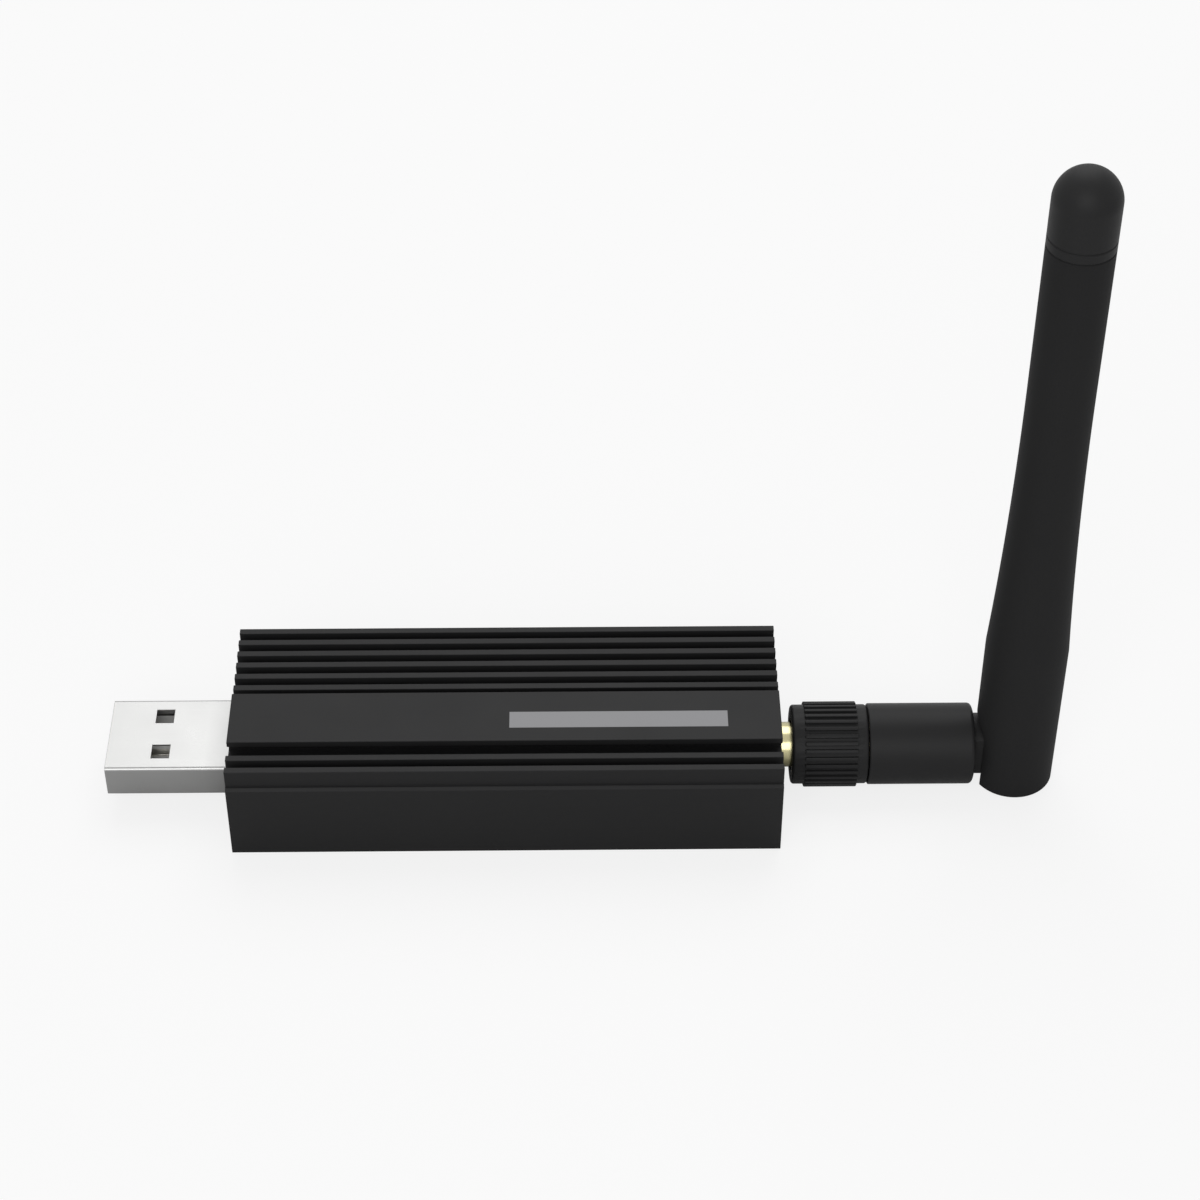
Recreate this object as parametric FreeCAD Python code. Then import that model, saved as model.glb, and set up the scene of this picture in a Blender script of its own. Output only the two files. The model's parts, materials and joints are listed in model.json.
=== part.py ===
import FreeCAD, Part
import math
import os

V = FreeCAD.Vector
X_AXIS = V(1, 0, 0)
Y_AXIS = V(0, 1, 0)
Z_AXIS = V(0, 0, 1)
SIDES = (-1, 1)

# The frame: X runs along the stick, the USB plug points to -X and the whip stands at +X.
# The origin is the middle of the housing's flat underside. All sizes are in millimetres.

# Finned housing, one aluminium extrusion
HOUSING_LENGTH = 66.2
BODY_WIDTH = 26.0
LEDGE_HEIGHT = 10.85
FIN_TOP = 13.2
FIN_DEPTH = 1.85
FIN_PITCH = 2.0
FIN_THICKNESS = 0.9
BACK_FINS = 6
FRONT_FINS = 2
PLATEAU_BACK = 0.38
PLATEAU_FRONT = -7.93
PLATEAU_TOP = 13.75
SLAB_THICKNESS = 0.8
SLAB_OVERHANG = 1.3
SIDE_WALL = 1.7
FLOOR_WALL = 1.4
ROOF_WALL = 1.6
BORE_CORNER = 0.6
SLOT_DEPTH = 0.8
PORT_RADIUS = 1.9
PORT_HOLE_RADIUS = 0.85
PORT_SLIT = 0.8

# End plates, let into pockets at both ends of the bore
PLATE_THICKNESS = 1.3
FIT_GAP = 0.1
SCREW_HEAD_RADIUS = 1.7
SCREW_LENGTH = 6.0

# Main board
BOARD_THICKNESS = 1.6
BOARD_START_SETBACK = 0.2

# What stands on the board: places are (x, y), packages are (length, width, height)
# and insets are counted from the board's long edges
PACKAGE_CORNER = 0.12
BRIDGE_CHIP_PLACE = (-14.0, 2.5)
BRIDGE_CHIP = (5.0, 5.0, 0.9)
RADIO_CHIP_PLACE = (6.5, 0.5)
RADIO_CHIP = (7.0, 7.0, 0.9)
MAIN_CRYSTAL_PLACE = (12.5, -6.0)
MAIN_CRYSTAL = (3.2, 2.5, 0.8)
SLOW_CRYSTAL_PLACE = (3.5, -7.0)
SLOW_CRYSTAL = (3.2, 1.5, 0.8)
REGULATOR_X = -14.0
REGULATOR_INSET = 5.4
REGULATOR = (6.5, 3.5, 1.6)
LEAD_THICKNESS = 0.3
LEAD_REACH = 1.7
LEAD_WIDTH = 0.7
LEAD_PITCH = 2.3
TAB_WIDTH = 3.0
PASSIVE = (1.0, 0.5, 0.45)
PASSIVE_STEP = 1.8
PASSIVE_ROW_START = -8.0
PASSIVE_ROW_INSETS = (3.5, 5.3)
PASSIVES_IN_ROW = 6
LED_X = -26.0
LED_INSET = 2.4
LED = (1.6, 0.8, 0.6)
BUTTON_PLACE = (20.0, 5.0)
BUTTON_BASE = (4.2, 3.2, 1.6)
BUTTON_CAP = (1.8, 1.0, 1.3)
BUTTON_WELL_DEPTH = 1.2
BUTTON_TRAVEL = 0.25

# USB plug, standard type A
PLUG_WIDTH = 12.0
PLUG_HEIGHT = 4.5
PLUG_EXPOSED = 15.43
PLUG_INSIDE = 3.3
PLUG_AXIS_HEIGHT = 5.15
SHELL_THICKNESS = 0.3
SHELL_CORNER = 0.45
LATCH_HOLE_LENGTH = 2.2
LATCH_HOLE_WIDTH = 2.35
LATCH_HOLE_INSET = 5.43
LATCH_HOLE_OFFSET = 3.03
TONGUE_THICKNESS = 1.84
TONGUE_SETBACK = 0.4
TONGUE_SIDE_GAP = 0.15
MOUTH_LENGTH = 9.6
OUTER_CONTACT = 3.5
OUTER_CONTACT_INSET = 1.2
INNER_CONTACT = 1.0
INNER_CONTACT_INSET = 2.2
CONTACT_WIDTH = 1.0
CONTACT_THICKNESS = 0.2
CONTACT_DROP = 0.5
CONTACT_FOOT = 1.3
EAR_LENGTH = 1.0
EAR_REACH = 1.5
EAR_DROP = 0.6

# Antenna jack, with the axis that it shares with the antenna
ANTENNA_AXIS_HEIGHT = 4.83
JACK_BLOCK_SIZE = 6.2
JACK_BLOCK_LENGTH = 1.7
JACK_LEG_LENGTH = 4.5
JACK_LEG_WIDTH = 1.2
JACK_LEG_HEIGHT = 1.0
NECK_EXPOSED = 1.9
JACK_NECK_RADIUS = 2.765
THREAD_RADIUS = 3.175
THREAD_LENGTH = 6.0
MOUTH_RADIUS = 2.3
MOUTH_DEPTH = 1.9
CORE_RADIUS = 2.05
SOCKET_RADIUS = 0.635
SOCKET_BORE_RADIUS = 0.48
SOCKET_DEPTH = 3.0
TAIL_RADIUS = 0.45
TAIL_LENGTH = 3.5

# Antenna plug: what the nut and the barrel turn on
RUNNING_GAP = 0.06
REACH_GAP = 0.02
FERRULE_TIP_RADIUS = 2.25
SHOULDER_GAP = 0.2
FERRULE_BODY_RADIUS = 2.75
RING_SETBACK = 1.3
RING_THICKNESS = 0.46
RING_INNER_RADIUS = 2.35
RING_OUTER_RADIUS = 3.55
RING_OPENING = 1.6
SHANK_RADIUS = 2.5
SHANK_LENGTH = 5.8
SNAP_RADIUS = 3.0
SNAP_LENGTH = 1.0
PIN_RADIUS = 0.457
PIN_REACH = 2.2
COAX_RADIUS = 0.9

# Coupling nut and its ribbed grip
GRIP_STANDOFF = 1.7
GRIP_LENGTH = 9.3
GRIP_RADIUS = 4.865
KNURL_INSET = 1.57
KNURL_LENGTH = 6.4
KNURL_RADIUS = 5.24
KNURL_DEPTH = 0.7
KNURL_RIBS = 34
KNURL_RIB_WIDTH = 0.45
KNURL_TURN = 2.4
NUT_SIDES = 6
NUT_ACROSS_FLATS = 7.9
NUT_BORE_RADIUS = 3.24
NUT_GROOVE_RADIUS = 3.6

# Swivel barrel with its neck, knuckle and trunnions
BARREL_GAP = 0.1
BARREL_LENGTH = 12.82
BARREL_RADIUS = 4.98
BARREL_END_CHAMFER = 0.35
SNAP_POCKET_LENGTH = 2.3
NECK_RADIUS = 3.738
KNUCKLE_HALF_WIDTH = 2.5
KNUCKLE_CREST = 1.4
KNUCKLE_RIM_RADIUS = 3.1
DISH_GAP = 0.11
DISH_SLOPE = 35.0
NECK_ROOT = 1.0
TRUNNION_RADIUS = 1.2
TRUNNION_REACH = 3.55
TRUNNION_ROOT = 0.5
CABLE_GROOVE_WIDTH = 2.4

# Whip: heights are above its flat foot unless their names say otherwise
PIVOT_STANDOFF = 5.38
PIVOT_HEIGHT = 4.71
WHIP_BASE_RADIUS = 4.96
WHIP_TOP_RADIUS = 3.824
WHIP_LENGTH = 88.99
FLARE_START = 21.33
FLARE_END_BELOW_TIP = 29.17
CAP_LENGTH = 9.52
DOME_STEPS = 4
SLOT_SIDE_GAP = 0.14
ARCH_HEIGHT = 9.77
SLOT_WALL = 0.9
SHEATH_BORE_RADIUS = 2.3
SHEATH_BORE_START = 11.9
CAP_SPIGOT_LENGTH = 2.6
SLEEVE_WALL = 0.3
SLEEVE_START = 19.9
SLEEVE_END = 47.4
WIRE_RADIUS = 0.45
WIRE_GAP = 0.97

# Places that several pieces share
HALF_LENGTH = HOUSING_LENGTH / 2
HALF_WIDTH = BODY_WIDTH / 2
GROOVE_FLOOR = FIN_TOP - FIN_DEPTH
BORE_HALF_WIDTH = HALF_WIDTH - SIDE_WALL
BORE_TOP = GROOVE_FLOOR - ROOF_WALL
SLOT_HALF_WIDTH = BORE_HALF_WIDTH + SLOT_DEPTH
PORT_Y = BORE_HALF_WIDTH - PORT_RADIUS
PORT_Z = BORE_TOP - PORT_RADIUS
PLATE_INNER = HALF_LENGTH - PLATE_THICKNESS
BOARD_TOP = ANTENNA_AXIS_HEIGHT - TAIL_RADIUS
BOARD_BOTTOM = BOARD_TOP - BOARD_THICKNESS
BOARD_HALF_WIDTH = SLOT_HALF_WIDTH - FIT_GAP
JACK_START = PLATE_INNER - FIT_GAP - JACK_BLOCK_LENGTH
BOARD_START = BOARD_START_SETBACK - PLATE_INNER
PLUG_TIP = -HALF_LENGTH - PLUG_EXPOSED
PLUG_REAR = PLUG_INSIDE - HALF_LENGTH
PLUG_HALF_WIDTH = PLUG_WIDTH / 2
PLUG_BOTTOM = PLUG_AXIS_HEIGHT - PLUG_HEIGHT / 2
PLUG_TOP = PLUG_AXIS_HEIGHT + PLUG_HEIGHT / 2
SHELL_FLOOR = PLUG_BOTTOM + SHELL_THICKNESS
TONGUE_TOP = SHELL_FLOOR + TONGUE_THICKNESS
THREAD_START = HALF_LENGTH + NECK_EXPOSED
JACK_END = THREAD_START + THREAD_LENGTH
REFERENCE_X = JACK_END - MOUTH_DEPTH
PLUG_FACE = REFERENCE_X + REACH_GAP
SHOULDER_START = JACK_END + SHOULDER_GAP
RING_START = SHOULDER_START + RING_SETBACK
RING_END = RING_START + RING_THICKNESS
GRIP_START = HALF_LENGTH + GRIP_STANDOFF
GRIP_END = GRIP_START + GRIP_LENGTH
BARREL_START = GRIP_END + BARREL_GAP
BARREL_END = BARREL_START + BARREL_LENGTH
SHANK_START = BARREL_START - RUNNING_GAP
SHANK_END = SHANK_START + SHANK_LENGTH
SNAP_END = SHANK_END + SNAP_LENGTH
PIVOT = V(BARREL_END + PIVOT_STANDOFF, 0, ANTENNA_AXIS_HEIGHT)
WHIP_FOOT = PIVOT.z - PIVOT_HEIGHT
FOOT_SWEEP = math.hypot(WHIP_BASE_RADIUS, PIVOT_HEIGHT)
HINGE_SLOT = KNUCKLE_HALF_WIDTH + SLOT_SIDE_GAP
HINGE_WELL = WHIP_BASE_RADIUS - SLOT_WALL
FLARE_END = WHIP_LENGTH - FLARE_END_BELOW_TIP
CAP_START = WHIP_LENGTH - CAP_LENGTH
WIRE_END = CAP_START - CAP_SPIGOT_LENGTH - WIRE_GAP


def block(x_limits, y_limits, z_limits):
    """A box between two limits on each axis."""
    low = V(x_limits[0], y_limits[0], z_limits[0])
    return Part.makeBox(x_limits[1] - low.x, y_limits[1] - low.y, z_limits[1] - low.z, low)


def about(middle, size):
    """Two limits that lie evenly about a middle."""
    return (middle - size / 2, middle + size / 2)


def mirrored(side, inner, outer):
    """Two limits on one side of the middle plane, in rising order."""
    return sorted((side * inner, side * outer))


def prism_x(outline, x_limits):
    """A closed outline of (y, z) corners drawn out along X."""
    corners = [V(x_limits[0], y, z) for y, z in outline]
    face = Part.Face(Part.makePolygon(corners + corners[:1]))
    return face.extrude(V(x_limits[1] - x_limits[0], 0, 0))


def prism_y(outline, y_limits):
    """A closed outline of (x, z) corners drawn out along Y."""
    corners = [V(x, y_limits[0], z) for x, z in outline]
    face = Part.Face(Part.makePolygon(corners + corners[:1]))
    return face.extrude(V(0, y_limits[1] - y_limits[0], 0))


def rod_x(radius, x_limits, y=0.0, z=ANTENNA_AXIS_HEIGHT):
    """A round rod along X, on the antenna's axis unless a place is given."""
    return Part.makeCylinder(radius, x_limits[1] - x_limits[0], V(x_limits[0], y, z), X_AXIS)


def rod_y(radius, y_limits):
    """A round rod along Y through the whip's pivot."""
    start = V(PIVOT.x, y_limits[0], PIVOT.z)
    return Part.makeCylinder(radius, y_limits[1] - y_limits[0], start, Y_AXIS)


def rod_z(radius, z_limits, x, y):
    """A round rod along Z."""
    return Part.makeCylinder(radius, z_limits[1] - z_limits[0], V(x, y, z_limits[0]), Z_AXIS)


def whip_rod(radius, heights):
    """A round rod on the whip's axis, between two heights above its foot."""
    return rod_z(radius, (WHIP_FOOT + heights[0], WHIP_FOOT + heights[1]), PIVOT.x, 0)


def turned_x(outline):
    """A closed outline of (x, radius) corners turned about the antenna's axis."""
    corners = [V(x, 0, ANTENNA_AXIS_HEIGHT + r) for x, r in outline]
    face = Part.Face(Part.makePolygon(corners + corners[:1]))
    return face.revolve(V(0, 0, ANTENNA_AXIS_HEIGHT), X_AXIS, 360)


def turned_whip(edges):
    """A closed chain of edges beside the whip's axis, turned about that axis."""
    return Part.Face(Part.Wire(edges)).revolve(PIVOT, Z_AXIS, 360)


def whip_point(radius, height):
    """A point beside the whip's axis, at a height above its foot."""
    return V(PIVOT.x + radius, 0, WHIP_FOOT + height)


def lines(points):
    """Straight edges from each point to the next."""
    return [Part.makeLine(a, b) for a, b in zip(points, points[1:])]


def long_edges(shape, direction):
    """The straight edges of a shape that run along one direction."""
    straight = [edge for edge in shape.Edges if isinstance(edge.Curve, Part.Line)]
    return [e for e in straight if abs(e.tangentAt(e.FirstParameter).dot(direction)) > 0.999]


def rim_edges(shape, x, radius):
    """The round edges of a turned shape that have one place and one radius."""
    rims = [edge for edge in shape.Edges if isinstance(edge.Curve, Part.Circle)]
    rims = [rim for rim in rims if abs(rim.Curve.Center.x - x) < 0.001]
    return [rim for rim in rims if abs(rim.Curve.Radius - radius) < 0.001]


def rounded_block(x_limits, y_limits, z_limits, radius):
    """A box with its four edges along X rounded."""
    box = block(x_limits, y_limits, z_limits)
    return box.makeFillet(radius, long_edges(box, X_AXIS))


def joined(shapes):
    """One clean solid from several that overlap or touch."""
    return shapes[0].multiFuse(shapes[1:]).removeSplitter()


def fin(side, row):
    """The corners of one fin, from its outer foot to its inner foot."""
    inner = side * (row * FIN_PITCH - FIN_THICKNESS / 2)
    outer = side * (row * FIN_PITCH + FIN_THICKNESS / 2)
    foot = LEDGE_HEIGHT if row == BACK_FINS else GROOVE_FLOOR
    return [(outer, foot), (outer, FIN_TOP), (inner, FIN_TOP), (inner, GROOVE_FLOOR)]


def housing_outline():
    """The outside of the extrusion, from the underside round over the fins."""
    slab_under = PLATEAU_TOP - SLAB_THICKNESS
    back_stem = PLATEAU_BACK - SLAB_OVERHANG
    front_stem = PLATEAU_FRONT + SLAB_OVERHANG
    outline = [(-HALF_WIDTH, 0), (HALF_WIDTH, 0), (HALF_WIDTH, LEDGE_HEIGHT)]
    for row in range(BACK_FINS, 0, -1):
        outline += fin(1, row)
    outline += [(back_stem, GROOVE_FLOOR), (back_stem, slab_under), (PLATEAU_BACK, slab_under)]
    outline += [(PLATEAU_BACK, PLATEAU_TOP), (PLATEAU_FRONT, PLATEAU_TOP)]
    outline += [(PLATEAU_FRONT, slab_under), (front_stem, slab_under), (front_stem, GROOVE_FLOOR)]
    for row in range(BACK_FINS - FRONT_FINS + 1, BACK_FINS + 1):
        outline += reversed(fin(-1, row))
    outline.append((-HALF_WIDTH, LEDGE_HEIGHT))
    return outline


def bore_blank(x_limits, gap=0.0):
    """The bore's rectangle with cut corners, made smaller all round by a gap."""
    y_limits = (gap - BORE_HALF_WIDTH, BORE_HALF_WIDTH - gap)
    box = block(x_limits, y_limits, (FLOOR_WALL + gap, BORE_TOP - gap))
    return box.makeChamfer(BORE_CORNER, long_edges(box, X_AXIS))


def screw_port(side, ends):
    """The metal round one screw hole: a lobe in the bore's upper corner."""
    lobe = rod_x(PORT_RADIUS, ends, side * PORT_Y, PORT_Z)
    corner = block(ends, mirrored(side, PORT_Y, SLOT_HALF_WIDTH), (PORT_Z, GROOVE_FLOOR))
    return joined([lobe, corner])


def make_finned_housing():
    """The extrusion with its bore, board slots, screw ports and end pockets."""
    ends = (-HALF_LENGTH, HALF_LENGTH)
    slot_z = (BOARD_BOTTOM, BOARD_TOP + FIT_GAP)
    slot = block(ends, (-SLOT_HALF_WIDTH, SLOT_HALF_WIDTH), slot_z)
    hollow = joined([bore_blank(ends), slot])
    for side in SIDES:
        slit_z = (PORT_Z - 2 * PORT_RADIUS, PORT_Z)
        hole = rod_x(PORT_HOLE_RADIUS, ends, side * PORT_Y, PORT_Z)
        slit = block(ends, about(side * PORT_Y, PORT_SLIT), slit_z)
        hollow = hollow.cut(screw_port(side, ends))
        hollow = joined([hollow, hole, slit])
    pockets = [bore_blank((-HALF_LENGTH, -PLATE_INNER)), bore_blank((PLATE_INNER, HALF_LENGTH))]
    return prism_x(housing_outline(), ends).cut(joined([hollow] + pockets))


def screw_body(side, row):
    """A countersunk screw, its head through the end plate and its shank in one port."""
    centre = V(side * HALF_LENGTH, row * PORT_Y, PORT_Z)
    inward = V(-side, 0, 0)
    shank = Part.makeCylinder(PORT_HOLE_RADIUS, SCREW_LENGTH, centre, inward)
    head_radius = SCREW_HEAD_RADIUS
    head = Part.makeCone(head_radius, PORT_HOLE_RADIUS, PLATE_THICKNESS, centre, inward)
    return joined([head, shank])


def make_end_screws():
    """Four countersunk screws, two at each end, as one group."""
    return Part.makeCompound([screw_body(side, row) for side in SIDES for row in SIDES])


def plate_blank(side):
    """An end plate, flush with the housing's end, before its opening is cut."""
    plate = bore_blank(mirrored(side, PLATE_INNER, HALF_LENGTH), FIT_GAP)
    return plate.cut([screw_body(side, -1), screw_body(side, 1)])


def make_usb_end_plate():
    """The plate round the USB plug."""
    x_limits = (-HALF_LENGTH, -PLATE_INNER)
    y_limits = about(0, PLUG_WIDTH + 2 * FIT_GAP)
    z_limits = about(PLUG_AXIS_HEIGHT, PLUG_HEIGHT + 2 * FIT_GAP)
    return plate_blank(-1).cut(block(x_limits, y_limits, z_limits))


def make_antenna_end_plate():
    """The plate round the jack's neck, with a hole that its thread goes through."""
    return plate_blank(1).cut(rod_x(THREAD_RADIUS + FIT_GAP, (PLATE_INNER, HALF_LENGTH)))


def ear_leg(side, gap, z_limits):
    """One leg of the USB shell, opened by a gap on every side for its slot in the board."""
    x_limits = (PLUG_REAR - EAR_LENGTH - gap, PLUG_REAR + gap)
    outer = PLUG_HALF_WIDTH + EAR_REACH
    return block(x_limits, mirrored(side, outer - SHELL_THICKNESS - gap, outer + gap), z_limits)


def make_main_board():
    """The board with the notch for the USB shell and the slots for its legs."""
    z_limits = (BOARD_BOTTOM, BOARD_TOP)
    board = block((BOARD_START, JACK_START), about(0, 2 * BOARD_HALF_WIDTH), z_limits)
    notch_x = (BOARD_START, PLUG_REAR + FIT_GAP)
    cuts = [block(notch_x, about(0, PLUG_WIDTH + 2 * FIT_GAP), z_limits)]
    cuts += [ear_leg(side, FIT_GAP, z_limits) for side in SIDES]
    return board.cut(cuts)


def make_usb_shell():
    """The folded shell with four latch holes and two ears that grip the board."""
    length = (PLUG_TIP, PLUG_REAR)
    wall = SHELL_THICKNESS
    height = (PLUG_BOTTOM, PLUG_TOP)
    outside = rounded_block(length, about(0, PLUG_WIDTH), height, SHELL_CORNER)
    room = (SHELL_FLOOR, PLUG_TOP - wall)
    inside = rounded_block(length, about(0, PLUG_WIDTH - 2 * wall), room, SHELL_CORNER - wall)
    hole_start = PLUG_TIP + LATCH_HOLE_INSET
    hole_x = (hole_start, hole_start + LATCH_HOLE_LENGTH)
    shell = outside.cut(inside)
    for side in SIDES:
        hole_y = about(side * LATCH_HOLE_OFFSET, LATCH_HOLE_WIDTH)
        shell = shell.cut(block(hole_x, hole_y, height))
    pieces = [shell]
    for side in SIDES:
        ear_x = (PLUG_REAR - EAR_LENGTH, PLUG_REAR)
        ear_y = mirrored(side, PLUG_HALF_WIDTH - wall, PLUG_HALF_WIDTH + EAR_REACH)
        pieces.append(block(ear_x, ear_y, (BOARD_TOP, BOARD_TOP + wall)))
        pieces.append(ear_leg(side, 0, (BOARD_BOTTOM - EAR_DROP, BOARD_TOP + wall)))
    return joined(pieces)


def contact_strip(middle, inset):
    """One contact: it lies on the tongue, bends down behind it and ends on the board."""
    front = PLUG_TIP + inset
    drop = PLUG_REAR + CONTACT_DROP
    foot = drop + CONTACT_FOOT
    thick = CONTACT_THICKNESS
    outline = [(front, TONGUE_TOP), (drop, TONGUE_TOP), (drop, BOARD_TOP), (foot, BOARD_TOP)]
    outline += [(foot, BOARD_TOP + thick), (drop + thick, BOARD_TOP + thick)]
    outline += [(drop + thick, TONGUE_TOP + thick), (front, TONGUE_TOP + thick)]
    return prism_y(outline, about(middle, CONTACT_WIDTH))


def make_usb_contacts():
    """The four contacts as one group: the two outer ones reach further forward."""
    strips = []
    for side in SIDES:
        strips.append(contact_strip(side * OUTER_CONTACT, OUTER_CONTACT_INSET))
        strips.append(contact_strip(side * INNER_CONTACT, INNER_CONTACT_INSET))
    return Part.makeCompound(strips)


def make_usb_insulator():
    """The tongue and the block behind it that fills the shell's rear."""
    width = about(0, PLUG_WIDTH - 2 * SHELL_THICKNESS - 2 * TONGUE_SIDE_GAP)
    tongue = block((PLUG_TIP + TONGUE_SETBACK, PLUG_REAR), width, (SHELL_FLOOR, TONGUE_TOP))
    rear_x = (PLUG_TIP + MOUTH_LENGTH, PLUG_REAR)
    rear = block(rear_x, width, (SHELL_FLOOR, PLUG_TOP - SHELL_THICKNESS))
    return joined([tongue, rear]).cut(make_usb_contacts())


def package(place, size):
    """A plain box that stands on the board."""
    z_limits = (BOARD_TOP, BOARD_TOP + size[2])
    return block(about(place[0], size[0]), about(place[1], size[1]), z_limits)


def chip(place, size):
    """A flat package with its upright edges chamfered."""
    box = package(place, size)
    return box.makeChamfer(PACKAGE_CORNER, long_edges(box, Z_AXIS))


def make_bridge_chip():
    """The chip between the USB plug and the radio."""
    return chip(BRIDGE_CHIP_PLACE, BRIDGE_CHIP)


def make_radio_chip():
    """The radio chip."""
    return chip(RADIO_CHIP_PLACE, RADIO_CHIP)


def make_crystals():
    """The two timing crystals as one group."""
    crystals = [chip(MAIN_CRYSTAL_PLACE, MAIN_CRYSTAL), chip(SLOW_CRYSTAL_PLACE, SLOW_CRYSTAL)]
    return Part.makeCompound(crystals)


def make_regulator():
    """A small power package with a wide tab on one side and three leads on the other."""
    x = REGULATOR_X
    y = REGULATOR_INSET - BOARD_HALF_WIDTH
    z_limits = (BOARD_TOP, BOARD_TOP + LEAD_THICKNESS)
    edge = REGULATOR[1] / 2
    pieces = [chip((x, y), REGULATOR)]
    pieces.append(block(about(x, TAB_WIDTH), (y, y + edge + LEAD_REACH), z_limits))
    for lead_middle in (x - LEAD_PITCH, x, x + LEAD_PITCH):
        lead_x = about(lead_middle, LEAD_WIDTH)
        pieces.append(block(lead_x, (y - edge - LEAD_REACH, y), z_limits))
    return joined(pieces)


def make_board_passives():
    """Small resistors and capacitors in rows, as one group."""
    pieces = []
    for inset in PASSIVE_ROW_INSETS:
        for step in range(PASSIVES_IN_ROW):
            place_x = PASSIVE_ROW_START + step * PASSIVE_STEP
            pieces.append(package((place_x, BOARD_HALF_WIDTH - inset), PASSIVE))
    return Part.makeCompound(pieces)


def make_status_leds():
    """Two status lamps as one group."""
    edge = BOARD_HALF_WIDTH - LED_INSET
    return Part.makeCompound([package((LED_X, side * edge), LED) for side in SIDES])


def make_button_base():
    """The board button's body, with the well that its cap slides in."""
    top = BOARD_TOP + BUTTON_BASE[2]
    well_x = about(BUTTON_PLACE[0], BUTTON_CAP[0] + 2 * RUNNING_GAP)
    well_y = about(BUTTON_PLACE[1], BUTTON_CAP[1] + 2 * RUNNING_GAP)
    well = block(well_x, well_y, (top - BUTTON_WELL_DEPTH, top))
    return chip(BUTTON_PLACE, BUTTON_BASE).cut(well)


def make_button_cap():
    """The cap, held off the well's floor by its travel and a running gap."""
    low = BOARD_TOP + BUTTON_BASE[2] - BUTTON_WELL_DEPTH + BUTTON_TRAVEL + RUNNING_GAP
    cap_x = about(BUTTON_PLACE[0], BUTTON_CAP[0])
    cap = block(cap_x, about(BUTTON_PLACE[1], BUTTON_CAP[1]), (low, low + BUTTON_CAP[2]))
    return cap.makeChamfer(PACKAGE_CORNER, long_edges(cap, Z_AXIS))


def make_antenna_jack():
    """The gold jack: a block whose four legs grip the board's end, a neck and a thread."""
    half = JACK_BLOCK_SIZE / 2
    block_end = JACK_START + JACK_BLOCK_LENGTH
    block_z = about(ANTENNA_AXIS_HEIGHT, JACK_BLOCK_SIZE)
    width = about(0, JACK_BLOCK_SIZE)
    pieces = [block((JACK_START, block_end), width, block_z)]
    leg_x = (JACK_START - JACK_LEG_LENGTH, block_end)
    for side in SIDES:
        leg_y = mirrored(side, half - JACK_LEG_WIDTH, half)
        pieces.append(block(leg_x, leg_y, (BOARD_TOP, BOARD_TOP + JACK_LEG_HEIGHT)))
        pieces.append(block(leg_x, leg_y, (BOARD_BOTTOM - JACK_LEG_HEIGHT, BOARD_BOTTOM)))
    pieces.append(rod_x(JACK_NECK_RADIUS, (block_end, THREAD_START)))
    pieces.append(rod_x(THREAD_RADIUS, (THREAD_START, JACK_END)))
    bores = [rod_x(CORE_RADIUS, (JACK_START, REFERENCE_X))]
    bores.append(rod_x(MOUTH_RADIUS, (REFERENCE_X, JACK_END)))
    return joined(pieces).cut(bores)


def make_jack_insulator():
    """The white core that holds the jack's centre contact."""
    length = (JACK_START, REFERENCE_X)
    return rod_x(CORE_RADIUS, length).cut(rod_x(SOCKET_RADIUS, length))


def make_jack_contact():
    """The jack's centre contact: a socket in front and a tail that lies on the board."""
    tail = JACK_START - TAIL_LENGTH
    socket = REFERENCE_X - SOCKET_DEPTH
    outline = [(tail, 0), (tail, TAIL_RADIUS), (JACK_START, TAIL_RADIUS)]
    outline += [(JACK_START, SOCKET_RADIUS), (REFERENCE_X, SOCKET_RADIUS)]
    outline += [(REFERENCE_X, SOCKET_BORE_RADIUS), (socket, SOCKET_BORE_RADIUS), (socket, 0)]
    return turned_x(outline)


def make_plug_ferrule():
    """The antenna plug's body: tip, shoulder, ring groove, shank and snap flange."""
    outline = [(PLUG_FACE, CORE_RADIUS), (PLUG_FACE, FERRULE_TIP_RADIUS)]
    outline += [(SHOULDER_START, FERRULE_TIP_RADIUS), (SHOULDER_START, FERRULE_BODY_RADIUS)]
    outline += [(RING_START, FERRULE_BODY_RADIUS), (RING_START, RING_INNER_RADIUS)]
    outline += [(RING_END, RING_INNER_RADIUS), (RING_END, FERRULE_BODY_RADIUS)]
    outline += [(SHANK_START, FERRULE_BODY_RADIUS), (SHANK_START, SHANK_RADIUS)]
    outline += [(SHANK_END, SHANK_RADIUS), (SHANK_END, SNAP_RADIUS), (SNAP_END, SNAP_RADIUS)]
    outline.append((SNAP_END, COAX_RADIUS))
    outline += [(RING_END, COAX_RADIUS), (RING_END, CORE_RADIUS)]
    return turned_x(outline)


def make_plug_insulator():
    """The white core round the plug's pin."""
    length = (PLUG_FACE, RING_END)
    return rod_x(CORE_RADIUS, length).cut(rod_x(SOCKET_RADIUS, length))


def make_plug_pin():
    """The plug's centre pin, with a taper at its tip."""
    tip = PLUG_FACE - PIN_REACH
    outline = [(tip, 0), (tip, PIN_RADIUS / 2), (tip + PIN_RADIUS, PIN_RADIUS)]
    outline += [(PLUG_FACE, PIN_RADIUS), (PLUG_FACE, SOCKET_RADIUS)]
    outline += [(RING_END, SOCKET_RADIUS), (RING_END, 0)]
    return turned_x(outline)


def make_retaining_ring():
    """The open spring ring that keeps the nut on the ferrule."""
    width = (RING_START, RING_END)
    ring = rod_x(RING_OUTER_RADIUS, width).cut(rod_x(RING_INNER_RADIUS, width))
    opening_z = (ANTENNA_AXIS_HEIGHT, ANTENNA_AXIS_HEIGHT + RING_OUTER_RADIUS)
    return ring.cut(block(width, about(0, RING_OPENING), opening_z))


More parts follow.
